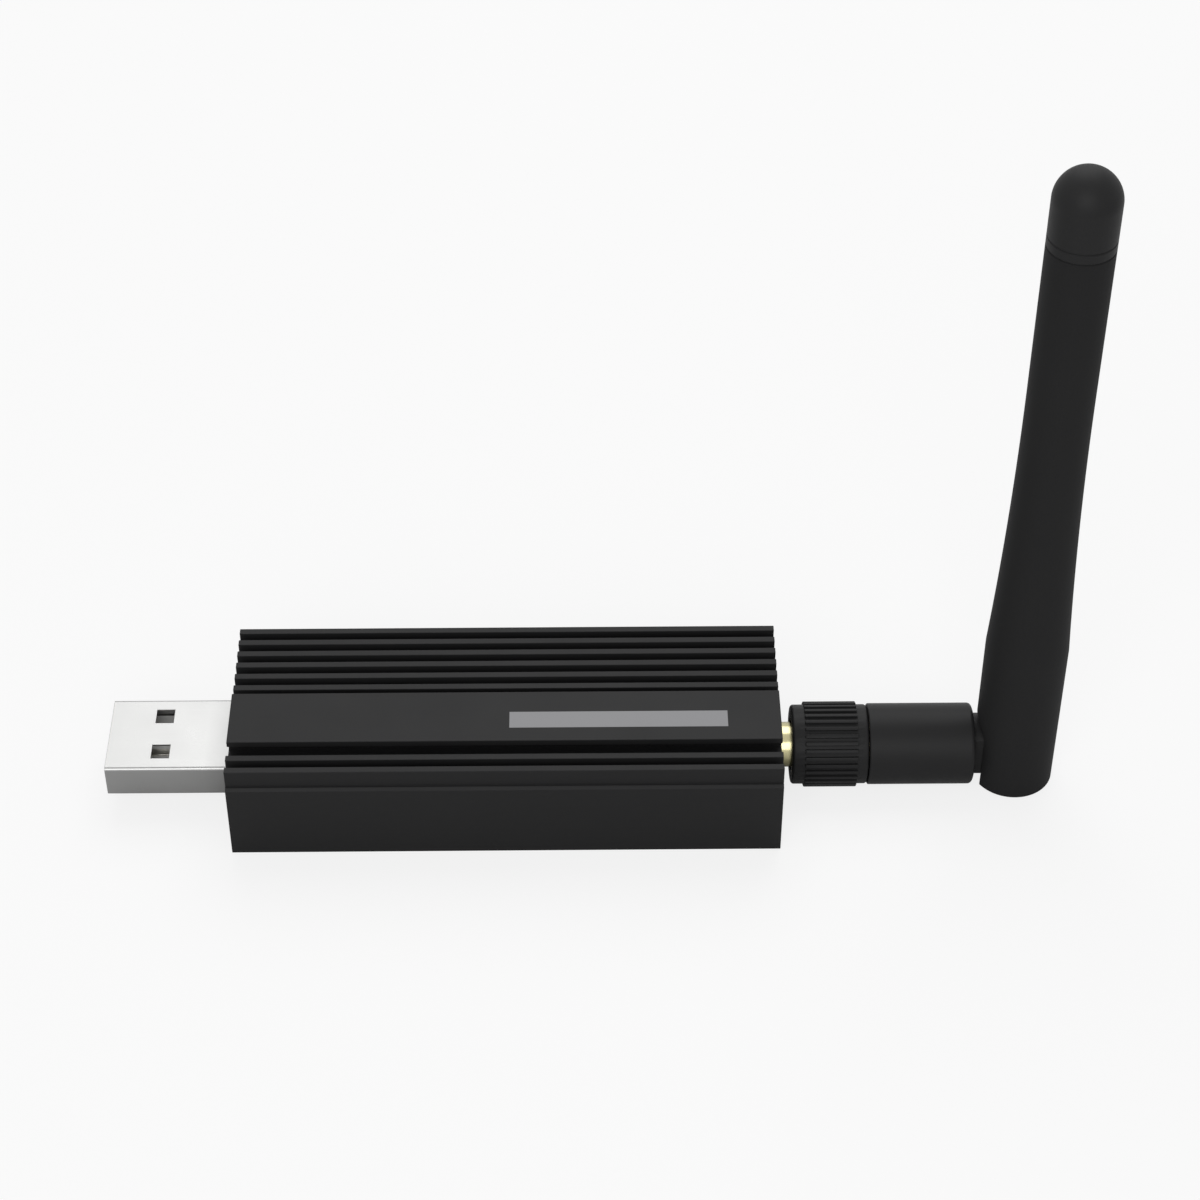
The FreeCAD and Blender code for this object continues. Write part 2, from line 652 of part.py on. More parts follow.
def nut_hexagon():
    """The nut's six flats, as long as its grip."""
    corner = NUT_ACROSS_FLATS / 2 / math.cos(math.pi / NUT_SIDES)
    outline = []
    for step in range(NUT_SIDES):
        angle = 2 * math.pi * step / NUT_SIDES
        height = ANTENNA_AXIS_HEIGHT + corner * math.sin(angle)
        outline.append((corner * math.cos(angle), height))
    return prism_x(outline, (GRIP_START, GRIP_END))


def make_coupling_nut():
    """The six-sided nut, its bore and the groove for the retaining ring."""
    groove = (RING_START - RUNNING_GAP, RING_END + RUNNING_GAP)
    bores = [rod_x(NUT_BORE_RADIUS, (GRIP_START, groove[0]))]
    bores.append(rod_x(NUT_GROOVE_RADIUS, groove))
    bores.append(rod_x(FERRULE_BODY_RADIUS + RUNNING_GAP, (groove[1], GRIP_END)))
    return nut_hexagon().cut(bores)


def make_nut_grip():
    """The ribbed grip pressed over the nut."""
    sleeve = rod_x(GRIP_RADIUS, (GRIP_START, GRIP_END))
    knurl_x = (GRIP_START + KNURL_INSET, GRIP_START + KNURL_INSET + KNURL_LENGTH)
    crest = ANTENNA_AXIS_HEIGHT + KNURL_RADIUS
    rib = block(knurl_x, about(0, KNURL_RIB_WIDTH), (crest - KNURL_DEPTH, crest))
    ribs = []
    for count in range(KNURL_RIBS):
        turned = rib.copy()
        angle = KNURL_TURN + count * 360 / KNURL_RIBS
        turned.rotate(V(0, 0, ANTENNA_AXIS_HEIGHT), X_AXIS, angle)
        ribs.append(turned)
    return joined([sleeve] + ribs).cut(nut_hexagon())


def make_feed_coax():
    """The coax from the plug to the knuckle's cable groove."""
    return rod_x(COAX_RADIUS, (RING_END, PIVOT.x - CABLE_GROOVE_WIDTH / 2))


def middle_slab(half_width):
    """All that lies within a half width of the hinge's middle plane."""
    reach = 4 * BARREL_RADIUS
    return block(about(PIVOT.x, reach), (-half_width, half_width), about(PIVOT.z, reach))


def knuckle_disc():
    """The disc round the pivot at the neck's end, thinner towards its rims."""
    outline = [(-KNUCKLE_HALF_WIDTH, 0), (-KNUCKLE_HALF_WIDTH, KNUCKLE_RIM_RADIUS)]
    outline += [(-KNUCKLE_CREST, NECK_RADIUS), (KNUCKLE_CREST, NECK_RADIUS)]
    outline += [(KNUCKLE_HALF_WIDTH, KNUCKLE_RIM_RADIUS), (KNUCKLE_HALF_WIDTH, 0)]
    corners = [PIVOT + V(0, y, r) for y, r in outline]
    face = Part.Face(Part.makePolygon(corners + corners[:1]))
    return face.revolve(PIVOT, Y_AXIS, 360)


def barrel_dish():
    """The sloping dish in the barrel's end, clear of the whip's foot as the foot swings."""
    slope = math.radians(DISH_SLOPE)
    reach = FOOT_SWEEP + DISH_GAP
    deep_radius = NECK_RADIUS / 2
    rim_radius = (reach - PIVOT_STANDOFF * math.cos(slope)) / math.sin(slope)
    depth = (reach - deep_radius * math.sin(slope)) / math.cos(slope) - PIVOT_STANDOFF
    rim = V(BARREL_END, 0, ANTENNA_AXIS_HEIGHT)
    return Part.makeCone(rim_radius, deep_radius, depth, rim, V(-1, 0, 0))


def make_swivel_barrel():
    """The barrel that turns on the ferrule's shank, with its neck, knuckle and trunnions."""
    barrel = rod_x(BARREL_RADIUS, (BARREL_START, BARREL_END))
    end_rim = rim_edges(barrel, BARREL_END, BARREL_RADIUS)
    barrel = barrel.makeChamfer(BARREL_END_CHAMFER, end_rim).cut(barrel_dish())
    neck = rod_x(NECK_RADIUS, (PIVOT.x - FOOT_SWEEP - DISH_GAP - NECK_ROOT, PIVOT.x))
    neck = neck.common(middle_slab(KNUCKLE_HALF_WIDTH))
    knuckle = joined([neck, knuckle_disc()])
    cable_half = CABLE_GROOVE_WIDTH / 2
    cable_x = (PIVOT.x - cable_half, PIVOT.x + 2 * NECK_RADIUS)
    cable_z = (PIVOT.z - cable_half, PIVOT.z + 2 * NECK_RADIUS)
    knuckle = knuckle.cut(block(cable_x, (-cable_half, cable_half), cable_z))
    pieces = [barrel, knuckle]
    for side in SIDES:
        trunnion_y = mirrored(side, KNUCKLE_HALF_WIDTH - TRUNNION_ROOT, TRUNNION_REACH)
        pieces.append(rod_y(TRUNNION_RADIUS, trunnion_y))
    snap_x = (SHANK_END - RUNNING_GAP, SHANK_END - RUNNING_GAP + SNAP_POCKET_LENGTH)
    bores = [rod_x(SHANK_RADIUS + RUNNING_GAP, (BARREL_START, SHANK_END))]
    bores.append(rod_x(SNAP_RADIUS + 2 * RUNNING_GAP, snap_x))
    bores.append(rod_x(COAX_RADIUS + RUNNING_GAP, (snap_x[1], PIVOT.x)))
    return joined(pieces).cut(bores)


def hinge_space():
    """The room in the whip's foot for the knuckle, open to the barrel and at the bottom."""
    low = WHIP_FOOT - HINGE_WELL
    arch_middle = WHIP_FOOT + ARCH_HEIGHT - HINGE_SLOT
    reach = (PIVOT.x - 2 * WHIP_BASE_RADIUS, PIVOT.x)
    passage = block(reach, (-HINGE_SLOT, HINGE_SLOT), (low, arch_middle))
    arch = rod_x(HINGE_SLOT, reach, 0, arch_middle)
    well = rod_z(HINGE_WELL, (low, PIVOT.z + HINGE_WELL), PIVOT.x, 0)
    return joined([passage, arch, well.common(middle_slab(HINGE_SLOT))])


def make_whip_sheath():
    """The black sheath: straight foot, long curved taper and straight top."""
    foot = whip_point(WHIP_BASE_RADIUS, FLARE_START)
    shoulder = whip_point(WHIP_TOP_RADIUS, FLARE_END)
    swell = WHIP_BASE_RADIUS - WHIP_TOP_RADIUS
    waist = whip_point(WHIP_TOP_RADIUS + swell / 4, (FLARE_START + FLARE_END) / 2)
    edges = lines([whip_point(0, 0), whip_point(WHIP_BASE_RADIUS, 0), foot])
    edges.append(Part.Arc(foot, waist, shoulder).toShape())
    rim = [shoulder, whip_point(WHIP_TOP_RADIUS, CAP_START), whip_point(0, CAP_START)]
    edges += lines(rim + [whip_point(0, 0)])
    cuts = [hinge_space()]
    cuts.append(whip_rod(COAX_RADIUS, (PIVOT_HEIGHT, SHEATH_BORE_START)))
    cuts.append(whip_rod(SHEATH_BORE_RADIUS, (SHEATH_BORE_START, CAP_START)))
    for side in SIDES:
        socket_y = mirrored(side, KNUCKLE_HALF_WIDTH, TRUNNION_REACH + FIT_GAP)
        cuts.append(rod_y(TRUNNION_RADIUS + RUNNING_GAP, socket_y))
    return turned_whip(edges).cut(cuts)


def make_tip_cap():
    """The domed tip, with a spigot that sits in the sheath's bore."""
    radius = WHIP_TOP_RADIUS
    spigot = CAP_START - CAP_SPIGOT_LENGTH
    points = [whip_point(0, spigot), whip_point(SHEATH_BORE_RADIUS, spigot)]
    points += [whip_point(SHEATH_BORE_RADIUS, CAP_START), whip_point(radius, CAP_START)]
    for step in range(DOME_STEPS):
        angle = math.pi / 2 * step / DOME_STEPS
        rise = radius * math.sin(angle)
        points.append(whip_point(radius * math.cos(angle), WHIP_LENGTH - radius + rise))
    points += [whip_point(0, WHIP_LENGTH), points[0]]
    return turned_whip(lines(points))


def make_whip_coax():
    """The coax from above the hinge to the middle of the radiator."""
    return whip_rod(COAX_RADIUS, (PIVOT_HEIGHT + HINGE_WELL + COAX_RADIUS, SLEEVE_END))


def make_dipole_sleeve():
    """The radiator's lower half: a tube round the coax, closed at its top."""
    tube = whip_rod(SHEATH_BORE_RADIUS, (SLEEVE_START, SLEEVE_END))
    bore = whip_rod(SHEATH_BORE_RADIUS - SLEEVE_WALL, (SLEEVE_START, SLEEVE_END - SLEEVE_WALL))
    return tube.cut([bore, whip_rod(COAX_RADIUS, (SLEEVE_START, SLEEVE_END))])


def make_radiator_wire():
    """The radiator's upper half, a straight wire from the coax's end."""
    return whip_rod(WIRE_RADIUS, (SLEEVE_END, WIRE_END))


NODES = {
    "finned_housing": make_finned_housing,
    "usb_end_plate": make_usb_end_plate,
    "antenna_end_plate": make_antenna_end_plate,
    "end_screws": make_end_screws,
    "main_board": make_main_board,
    "usb_shell": make_usb_shell,
    "usb_insulator": make_usb_insulator,
    "usb_contacts": make_usb_contacts,
    "bridge_chip": make_bridge_chip,
    "radio_chip": make_radio_chip,
    "crystals": make_crystals,
    "regulator": make_regulator,
    "board_passives": make_board_passives,
    "status_leds": make_status_leds,
    "button_base": make_button_base,
    "button_cap": make_button_cap,
    "antenna_jack": make_antenna_jack,
    "jack_insulator": make_jack_insulator,
    "jack_contact": make_jack_contact,
    "plug_ferrule": make_plug_ferrule,
    "plug_insulator": make_plug_insulator,
    "plug_pin": make_plug_pin,
    "retaining_ring": make_retaining_ring,
    "coupling_nut": make_coupling_nut,
    "nut_grip": make_nut_grip,
    "feed_coax": make_feed_coax,
    "swivel_barrel": make_swivel_barrel,
    "whip_sheath": make_whip_sheath,
    "tip_cap": make_tip_cap,
    "whip_coax": make_whip_coax,
    "dipole_sleeve": make_dipole_sleeve,
    "radiator_wire": make_radiator_wire,
}

os.makedirs("parts", exist_ok=True)
for name, make in NODES.items():
    shape = make()
    if not shape.isValid():
        raise ValueError(name + " is not a valid shape")
    shape.exportStep("parts/" + name + ".step")
    print(name, "solids", len(shape.Solids), "volume", round(shape.Volume, 2))
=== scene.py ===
import json
import math

import bpy
from bpy.props import FloatProperty, FloatVectorProperty, IntProperty, PointerProperty
from mathutils import Matrix, Vector


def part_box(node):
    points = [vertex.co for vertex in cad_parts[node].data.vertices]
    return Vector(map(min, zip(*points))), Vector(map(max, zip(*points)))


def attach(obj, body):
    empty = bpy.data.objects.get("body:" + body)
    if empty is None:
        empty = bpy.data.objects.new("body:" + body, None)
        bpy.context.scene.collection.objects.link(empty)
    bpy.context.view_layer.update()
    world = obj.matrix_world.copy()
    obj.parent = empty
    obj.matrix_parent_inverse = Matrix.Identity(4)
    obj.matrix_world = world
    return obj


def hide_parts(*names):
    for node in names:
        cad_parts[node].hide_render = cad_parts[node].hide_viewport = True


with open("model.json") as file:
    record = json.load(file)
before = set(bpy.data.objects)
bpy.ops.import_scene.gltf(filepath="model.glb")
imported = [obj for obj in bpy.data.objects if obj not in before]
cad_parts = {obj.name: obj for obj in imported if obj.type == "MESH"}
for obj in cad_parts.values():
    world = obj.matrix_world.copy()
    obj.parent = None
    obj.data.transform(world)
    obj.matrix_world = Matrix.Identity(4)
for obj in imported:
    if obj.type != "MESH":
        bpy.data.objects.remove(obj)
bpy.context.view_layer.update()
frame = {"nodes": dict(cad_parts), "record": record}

bl_info = {
    "name": "USB radio stick",
    "version": (1, 0, 0),
    "blender": (4, 5, 0),
    "location": "View3D > Sidebar > Radio stick",
    "description": "Builds the visible pieces, finishes and studio of a USB radio stick",
    "category": "Object",
}

MM = 0.001

# How finely round forms are divided
ROUND_STEPS = 96
BORE_STEPS = 64
PIN_STEPS = 48
ARCH_STEPS = 32
LONG_ARC_STEPS = 24
BARREL_CORNER_STEPS = 8
GRIP_CORNER_STEPS = 5

# Edges sharper than this many degrees are broken or shaded sharp
SHARP = 32.0
SHARP_ON_THREAD = 28.0
SHARP_ON_ANTENNA = 36.0
SHARP_ON_RIBS = 40.0

# How far two faces of one cut are kept apart, and how far a cutter reaches past its cut
ROUND_STEP = 0.004 * MM
FLAT_STEP = 0.006 * MM
OVERLAP = 0.1 * MM

# The pivot's ends: how deep they sit in the knuckle, and the room round and beyond them
PIN_ROOT = 0.3 * MM
PIN_PLAY = 0.06 * MM
PIN_END_PLAY = 0.1 * MM
FOOT_CHAMFER = 0.15 * MM

# The plug's sheet gets painted shade over this length beside the housing: it darkens towards the
# housing by up to this share of this tone
SHADE_PAINTED_LENGTH = 3.5 * MM
SHADE_PAINTED_SHARE = 0.6
SHADE_PAINTED_TONE = 0.72

# The seam under the plug: half its width, how high it reaches and how deep it looks
SEAM_HALF = 0.05 * MM
SEAM_HEIGHT = 1.5 * MM
SEAM_DEPTH = 0.05 * MM

# How much of the floor's own white the camera sees, and how bright the surroundings are
FLOOR_SIZE = 6.0
FLOOR_GLOW = 0.8
WORLD_LIGHT = 0.36
WORLD_SEEN = 0.64

# Name, place, size and power of each lamp
LAMPS = (("key lamp", (0.05, 0.42, 0.62), 0.6, 2.5),
         ("front lamp", (-0.1, -0.59, 0.44), 0.5, 2.2))

NUMBER = "NodeSocketFloat"
COLOUR = "NodeSocketColor"
VECTOR = "NodeSocketVector"

HOUSING_LOW, HOUSING_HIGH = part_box("finned_housing")
GRIP_LOW, GRIP_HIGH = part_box("nut_grip")
PLUG_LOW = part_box("usb_shell")[0]
BARREL_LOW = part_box("swivel_barrel")[0]


# What a user would change: sizes in millimetres and colours

def length(name, size, description):
    return FloatProperty(name=name, default=size * MM, description=description, unit="LENGTH",
                         subtype="DISTANCE", precision=5, min=0.0)


def colour(name, default, description):
    return FloatVectorProperty(name=name, default=default, description=description, size=3,
                               subtype="COLOR", min=0.0, max=1.0)


class HousingSettings(bpy.types.PropertyGroup):
    edge: length("Edge", 0.07, "Width of the broken edges on the extrusion")
    ledge_height: length("Ledge height", 10.85, "Height of the ledges below the outer fins")
    ledge_chamfer: length("Ledge chamfer", 0.36, "Width of the chamfer along the ledges")
    screw_edge: length("Screw edge", 0.05, "Width of the broken edges on the screws")
    screw_head: length("Screw head", 1.7, "Radius of the countersunk heads")
    screw_shank: length("Screw shank", 0.85, "Radius of the screws' shanks")
    screw_length: length("Screw length", 6.0, "Length of the screws with their heads")
    screw_sink: length("Head height", 1.3, "Height of the countersunk heads")
    recess_length: length("Recess length", 1.9, "Length of each bar of the cross recess")
    recess_width: length("Recess width", 0.42, "Width of each bar of the cross recess")
    recess_depth: length("Recess depth", 0.8, "Depth of the cross recess")
    metal: colour("Anodising", (0.0138, 0.0138, 0.0142), "Colour of the anodised aluminium")
    print_place: length("Bar place", 13.6, "Where the printed bar's middle lies along the stick")
    print_front: length("Bar front", 4.41, "How far in front of the axis the bar's middle lies")
    print_long: length("Bar half length", 13.1, "Half the printed bar's length")
    print_wide: length("Bar half width", 1.35, "Half the printed bar's width")
    print_grey: colour("Print", (0.30, 0.30, 0.31), "Colour of the plain printed bar")


class PlugSettings(bpy.types.PropertyGroup):
    edge: length("Edge", 0.05, "Width of the rounded sheet edges")
    nickel: colour("Nickel", (0.32, 0.32, 0.317), "Colour of the plated shell")
    resin: colour("Insulator", (0.72, 0.72, 0.70), "Colour of the moulded tongue")
    plating: colour("Contacts", (0.62, 0.60, 0.55), "Colour of the plated contacts")


class JackSettings(bpy.types.PropertyGroup):
    thread_start: length("Thread start", HOUSING_HIGH.x / MM + 1.9, "Where the thread begins")
    thread_length: length("Thread length", 6.0, "Length of the threaded part")
    thread_radius: length("Thread radius", 3.175, "Outer radius of the thread")
    thread_pitch: length("Pitch", 0.7056, "Distance from one turn to the next")
    thread_depth: length("Depth", 0.4, "Height of the thread's ridge")
    lead: length("Lead-in", 0.35, "Chamfer at both ends of the thread")
    mouth_radius: length("Mouth radius", 2.3, "Radius of the opening")
    mouth_depth: length("Mouth depth", 1.9, "Depth of the opening")
    core_radius: length("Core radius", 2.05, "Radius of the white core")
    edge: length("Edge", 0.05, "Width of the jack's and the nut's broken edges")
    gold: colour("Gold", (0.52, 0.48, 0.28), "Colour of the gold plating")


class AntennaSettings(bpy.types.PropertyGroup):
    axis_height: length("Axis height", 4.83, "Height of the axis above the underside")
    grip_radius: length("Grip radius", 4.865, "Radius of the grip beside its ribs")
    grip_rounding: length("Grip rounding", 0.35, "Rounding of the grip's ends")
    grip_lip: length("Grip lip", 0.35, "Lip of the grip in front of the nut")
    lip_bore: length("Lip bore", 3.24, "Radius of the opening in the grip's lip")
    knurl_inset: length("Rib inset", 1.57, "From the grip's start to its ribs")
    knurl_length: length("Rib length", 6.4, "Length of the ribs")
    knurl_radius: length("Rib radius", 5.24, "Radius over the ribs")
    knurl_edge: length("Rib edge", 0.08, "Width of the ribs' broken edges")
    knurl_ribs: IntProperty(name="Ribs", default=34, min=8, max=80,
                            description="How many ribs stand round the grip")
    nut_flats: length("Across flats", 7.9, "Width of the nut inside the grip")
    barrel_radius: length("Barrel radius", 4.98, "Radius of the swivel barrel")
    barrel_end: length("Barrel end", 57.02, "Where the barrel's outside ends")
    barrel_rounding: length("Barrel rounding", 0.5, "Rounding at the barrel's end")
    barrel_chamfer: length("Barrel chamfer", 0.12, "Chamfer at the barrel's start")
    dish_rim: length("Dish rim", 4.433, "Radius of the dish in the barrel's end")
    dish_floor: length("Dish floor", 1.869, "Radius at the bottom of the dish")
    dish_depth: length("Dish depth", 1.795, "Depth of the dish")
    shank_bore: length("Shank bore", 2.56, "Radius of the bore for the ferrule's shank")
    shank_length: length("Shank length", 5.74, "Length of the bore for the shank")
    snap_bore: length("Snap bore", 3.12, "Radius of the room for the snap flange")
    snap_length: length("Snap length", 2.3, "Length of the room for the snap flange")
    cable_bore: length("Cable bore", 0.96, "Radius of the bore for the cable")
    pivot: length("Pivot", 62.4, "Where the whip's pivot lies along the stick")
    neck_radius: length("Neck radius", 3.738, "Radius of the neck and its round end")
    knuckle_half: length("Half knuckle", 2.5, "Half the knuckle's width between flats")
    knuckle_crest: length("Half crest", 1.4, "Half the width of the knuckle's full round")
    knuckle_rim: length("Rim radius", 3.1, "Radius of the knuckle at its flats")
    trunnion_radius: length("Trunnion radius", 1.2, "Radius of the pivot's two ends")
    trunnion_reach: length("Trunnion reach", 3.55, "How far the pivot's ends reach")
    cable_half: length("Half groove", 1.2, "Half the width of the cable's groove")
    base_radius: length("Base radius", 4.96, "Radius of the whip's base")
    top_radius: length("Top radius", 3.824, "Radius of the whip's upper part")
    foot: length("Foot", 0.12, "Height of the whip's flat foot")
    flare_start: length("Taper start", 21.33, "Height where the taper starts")
    flare_end: length("Taper end", 59.82, "Height where the taper ends")
    joint: length("Cap joint", 79.47, "Height of the joint between sheath and cap")
    ring: length("Ring groove", 80.73, "Height of the cap's ring groove")
    tip: length("Tip", 88.99, "Height of the tip")
    groove_depth: length("Groove depth", 0.16, "Depth of both ring grooves")
    groove_half: length("Half groove width", 0.14, "Half the width of both ring grooves")
    slot_half: length("Half slot", 2.64, "Half the width of the hinge slot")
    slot_top: length("Slot top", 9.77, "Height of the hinge slot's arch")
    well_radius: length("Well radius", 4.06, "Radius of the room inside the foot")
    bore_radius: length("Bore radius", 2.3, "Radius of the whip's bore")
    bore_start: length("Bore start", 11.9, "Height where the bore starts")
    coax_radius: length("Coax radius", 0.9, "Radius of the coax")
    spigot: length("Spigot", 2.6, "Length of the cap's spigot")
    edge: length("Edge", 0.07, "Width of the moulded pieces' broken edges")
    resin: colour("Resin", (0.0176, 0.0176, 0.018), "Colour of the moulded antenna")
    brass: colour("Plated brass", (0.66, 0.55, 0.33), "Colour of the nut and ferrule")


class BoardSettings(bpy.types.PropertyGroup):
    mask: colour("Solder mask", (0.018, 0.085, 0.045), "Colour of the board")
    track: colour("Tracks", (0.035, 0.16, 0.08), "Colour of the tracks under the mask")
    chip: colour("Chips", (0.022, 0.022, 0.024), "Colour of the moulded chips")


class StageSettings(bpy.types.PropertyGroup):
    floor: colour("Floor", (0.86, 0.86, 0.86), "Colour of the floor")
    camera_place: FloatVectorProperty(name="Camera", size=3, subtype="TRANSLATION",
                                      default=(0.008551, -0.255293, 0.262302),
                                      description="Where the camera stands")
    camera_turn: FloatProperty(name="Turn", default=math.radians(-0.639), subtype="ANGLE",
                               description="The camera's heading, from straight behind +Y")
    camera_tilt: FloatProperty(name="Tilt", default=math.radians(47.585), subtype="ANGLE",
                               description="The camera's tilt up from straight down")
    camera_roll: FloatProperty(name="Roll", default=math.radians(0.059), subtype="ANGLE",
                               description="The camera's roll about its own line of sight")
    lens: FloatProperty(name="Lens", default=88.36, unit="CAMERA",
                        description="Focal length on a sensor 36 mm wide")


class RadioStickSettings(bpy.types.PropertyGroup):
    housing: PointerProperty(type=HousingSettings)
    plug: PointerProperty(type=PlugSettings)
    jack: PointerProperty(type=JackSettings)
    antenna: PointerProperty(type=AntennaSettings)
    board: PointerProperty(type=BoardSettings)
    stage: PointerProperty(type=StageSettings)


def settings():
    return bpy.context.scene.radio_stick


# Modelling

def choose(piece):
    """Make one piece the only selected and the active one."""
    if bpy.context.mode != "OBJECT":
        bpy.ops.object.mode_set(mode="OBJECT")
    bpy.ops.object.select_all(action="DESELECT")
    piece.select_set(True)
    bpy.context.view_layer.objects.active = piece


def edit(piece):
    """Open a piece for editing, with all of it selected."""
    choose(piece)
    bpy.ops.object.mode_set(mode="EDIT")
    bpy.ops.mesh.select_mode(type="VERT")
    bpy.ops.mesh.select_all(action="SELECT")


def done_editing():
    bpy.ops.object.mode_set(mode="OBJECT")


def modify(piece, kind, **values):
    """Add one modifier, set it and apply it."""
    choose(piece)
    modifier = piece.modifiers.new(kind.title(), kind)
    for key, value in values.items():
        setattr(modifier, key, value)
    bpy.ops.object.modifier_apply(modifier=modifier.name)


def open_edges(piece):
    """How many edges of a piece don't lie between exactly two faces."""
    used = [0] * len(piece.data.edges)
    for loop in piece.data.loops:
        used[loop.edge_index] += 1
    return sum(1 for count in used if count != 2)


def cut(piece, tool, operation="DIFFERENCE"):
    """Combine a piece with a tool by an exact boolean, and remove the tool."""
    for part in (piece, tool):
        if open_edges(part):
            raise RuntimeError(f"{part.name} is open before {piece.name} meets {tool.name}")
    modify(piece, "BOOLEAN", object=tool, operation=operation, solver="EXACT")
    edit(piece)
    bpy.ops.mesh.remove_doubles(threshold=0.0003 * MM)
    done_editing()
    if not piece.data.polygons or open_edges(piece):
        raise RuntimeError(f"{piece.name} isn't a closed piece after {tool.name}")
    bpy.data.objects.remove(tool, do_unlink=True)


def placed(name):
    """Name the new primitive, and put its place and size into its mesh."""
    piece = bpy.context.object
    piece.name = name
    piece.data.name = name
    bpy.ops.object.transform_apply(location=True, rotation=True, scale=True)
    return piece


def drawn(name, points):
    """A line drawn from point to point, from a plane merged to one corner."""
    bpy.ops.object.select_all(action="DESELECT")
    bpy.ops.mesh.primitive_plane_add(size=MM, location=points[0])
    piece = placed(name)
    edit(piece)
    bpy.ops.mesh.merge(type="CENTER")
    for start, end in zip(points, points[1:]):
        step = Vector(end) - Vector(start)
        bpy.ops.mesh.extrude_region_move(TRANSFORM_OT_translate={"value": step})
    done_editing()
    return piece


def turned(name, points, centre, axis, steps=ROUND_STEPS):
    """A round piece: a drawn line spun about an axis and closed."""
    piece = drawn(name, points)
    edit(piece)
    bpy.ops.mesh.spin(steps=steps, angle=math.tau, center=centre, axis=axis)
    bpy.ops.mesh.select_all(action="SELECT")
    bpy.ops.mesh.remove_doubles(threshold=0.0005 * MM)
    bpy.ops.mesh.select_all(action="SELECT")
    bpy.ops.mesh.normals_make_consistent(inside=False)
    done_editing()
    return piece


def turned_x(name, outline, steps=ROUND_STEPS):
    """Spin an outline of (x, radius) about the antenna's axis, then close it on itself."""
    height = settings().antenna.axis_height
    points = [(x, 0.0, height + radius) for x, radius in outline]
    return turned(name, points, (0.0, 0.0, height), (1.0, 0.0, 0.0), steps)


def turned_z(name, outline, steps=ROUND_STEPS):
    """Spin an outline of (radius, height above the foot) about the whip's axis."""
    antenna = settings().antenna
    points = [(antenna.pivot + radius, 0.0, antenna.foot + height) for radius, height in outline]
    return turned(name, points, (antenna.pivot, 0.0, 0.0), (0.0, 0.0, 1.0), steps)


def block(name, low, high):
    """A box between two corners, for cutting."""
    bpy.ops.object.select_all(action="DESELECT")
    middle = (Vector(low) + Vector(high)) / 2
    bpy.ops.mesh.primitive_cube_add(size=1.0, location=middle, scale=Vector(high) - Vector(low))
    return placed(name)


def rod(name, radius, start, end, vertices=ROUND_STEPS):
    """A round bar between two points, for cutting."""
    bpy.ops.object.select_all(action="DESELECT")
    line = Vector(end) - Vector(start)
    turn = line.to_track_quat("Z", "Y").to_euler()
    bpy.ops.mesh.primitive_cylinder_add(vertices=vertices, radius=radius, depth=line.length,
                                        location=(Vector(start) + Vector(end)) / 2, rotation=turn)
    return placed(name)


def arc(centre, radius, start, end, steps):
    """Points of an arc in an outline, between two angles in degrees."""
    points = []
    for step in range(steps + 1):
        angle = math.radians(start + (end - start) * step / steps)
        points.append((centre[0] + radius * math.cos(angle), centre[1] + radius * math.sin(angle)))
    return points


def copy_of(node, name):
    """A merged copy of a node's mesh, ready for its finish."""
    piece = bpy.data.objects.new(name, frame["nodes"][node].data.copy())
    piece.data.name = name
    bpy.context.scene.collection.objects.link(piece)
    edit(piece)
    bpy.ops.mesh.remove_doubles(threshold=0.001 * MM)
    bpy.ops.mesh.dissolve_limited(angle_limit=math.radians(0.4))
    done_editing()
    return piece


def break_edges(piece, width, angle=SHARP):
    """Round the sharp edges a little."""
    modify(piece, "BEVEL", width=width, segments=2, limit_method="ANGLE",
           angle_limit=math.radians(angle), use_clamp_overlap=True, loop_slide=False)


def smooth(piece, angle=SHARP):
    """Shade a piece smooth, with its sharp edges kept and its flat faces flat."""
    choose(piece)
    bpy.ops.object.shade_smooth_by_angle(angle=math.radians(angle))
    modify(piece, "WEIGHTED_NORMAL", keep_sharp=True, weight=60)


def fit(piece, node, material):
    """Let a finished piece ride with its node's body, take its finish and stand for it."""
    piece.data.materials.clear()
    piece.data.materials.append(material)
    bodies = frame["record"]["behaviour"]["bodies"]
    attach(piece, next(body for body, nodes in bodies.items() if node in nodes))
    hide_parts(node)


def dress(node, name, edge, material):
    """Stand in for a node with a copy of it that has broken edges and a finish."""
    piece = copy_of(node, name)
    break_edges(piece, edge)
    smooth(piece)
    fit(piece, node, material)


def paint(material, *nodes):
    """Give nodes that stay as they are their finish."""
    for node in nodes:
        mesh = frame["nodes"][node].data
        mesh.materials.clear()
        mesh.materials.append(material)


# Materials

def new_group(name, inputs, outputs):
    """A shader node group with its sockets, and its two end nodes."""
    tree = bpy.data.node_groups.new(name, "ShaderNodeTree")
    for socket, kind, default in inputs:
        item = tree.interface.new_socket(name=socket, in_out="INPUT", socket_type=kind)
        if default is not None:
            item.default_value = default
    for socket, kind in outputs:
        tree.interface.new_socket(name=socket, in_out="OUTPUT", socket_type=kind)
    return tree, tree.nodes.new("NodeGroupInput"), tree.nodes.new("NodeGroupOutput")


def calculate(tree, operation, first, second=None, clamp=False):
    """A maths node; each value is a number or an output."""
    node = tree.nodes.new("ShaderNodeMath")
    node.operation = operation
    node.use_clamp = clamp
    for socket, value in zip(node.inputs, (first, second)):
        if value is None:
            continue
        if isinstance(value, (int, float)):
            socket.default_value = value
        else:
            tree.links.new(value, socket)
    return node.outputs[0]


def noise(tree, vector, size, detail, roughness=0.5):
    """Noise whose cells have about the size that an output gives."""
    node = tree.nodes.new("ShaderNodeTexNoise")
    node.inputs["Detail"].default_value = detail
    node.inputs["Roughness"].default_value = roughness
    tree.links.new(vector, node.inputs["Vector"])
    tree.links.new(calculate(tree, "DIVIDE", 1.0, size), node.inputs["Scale"])
    return node.outputs["Fac"]


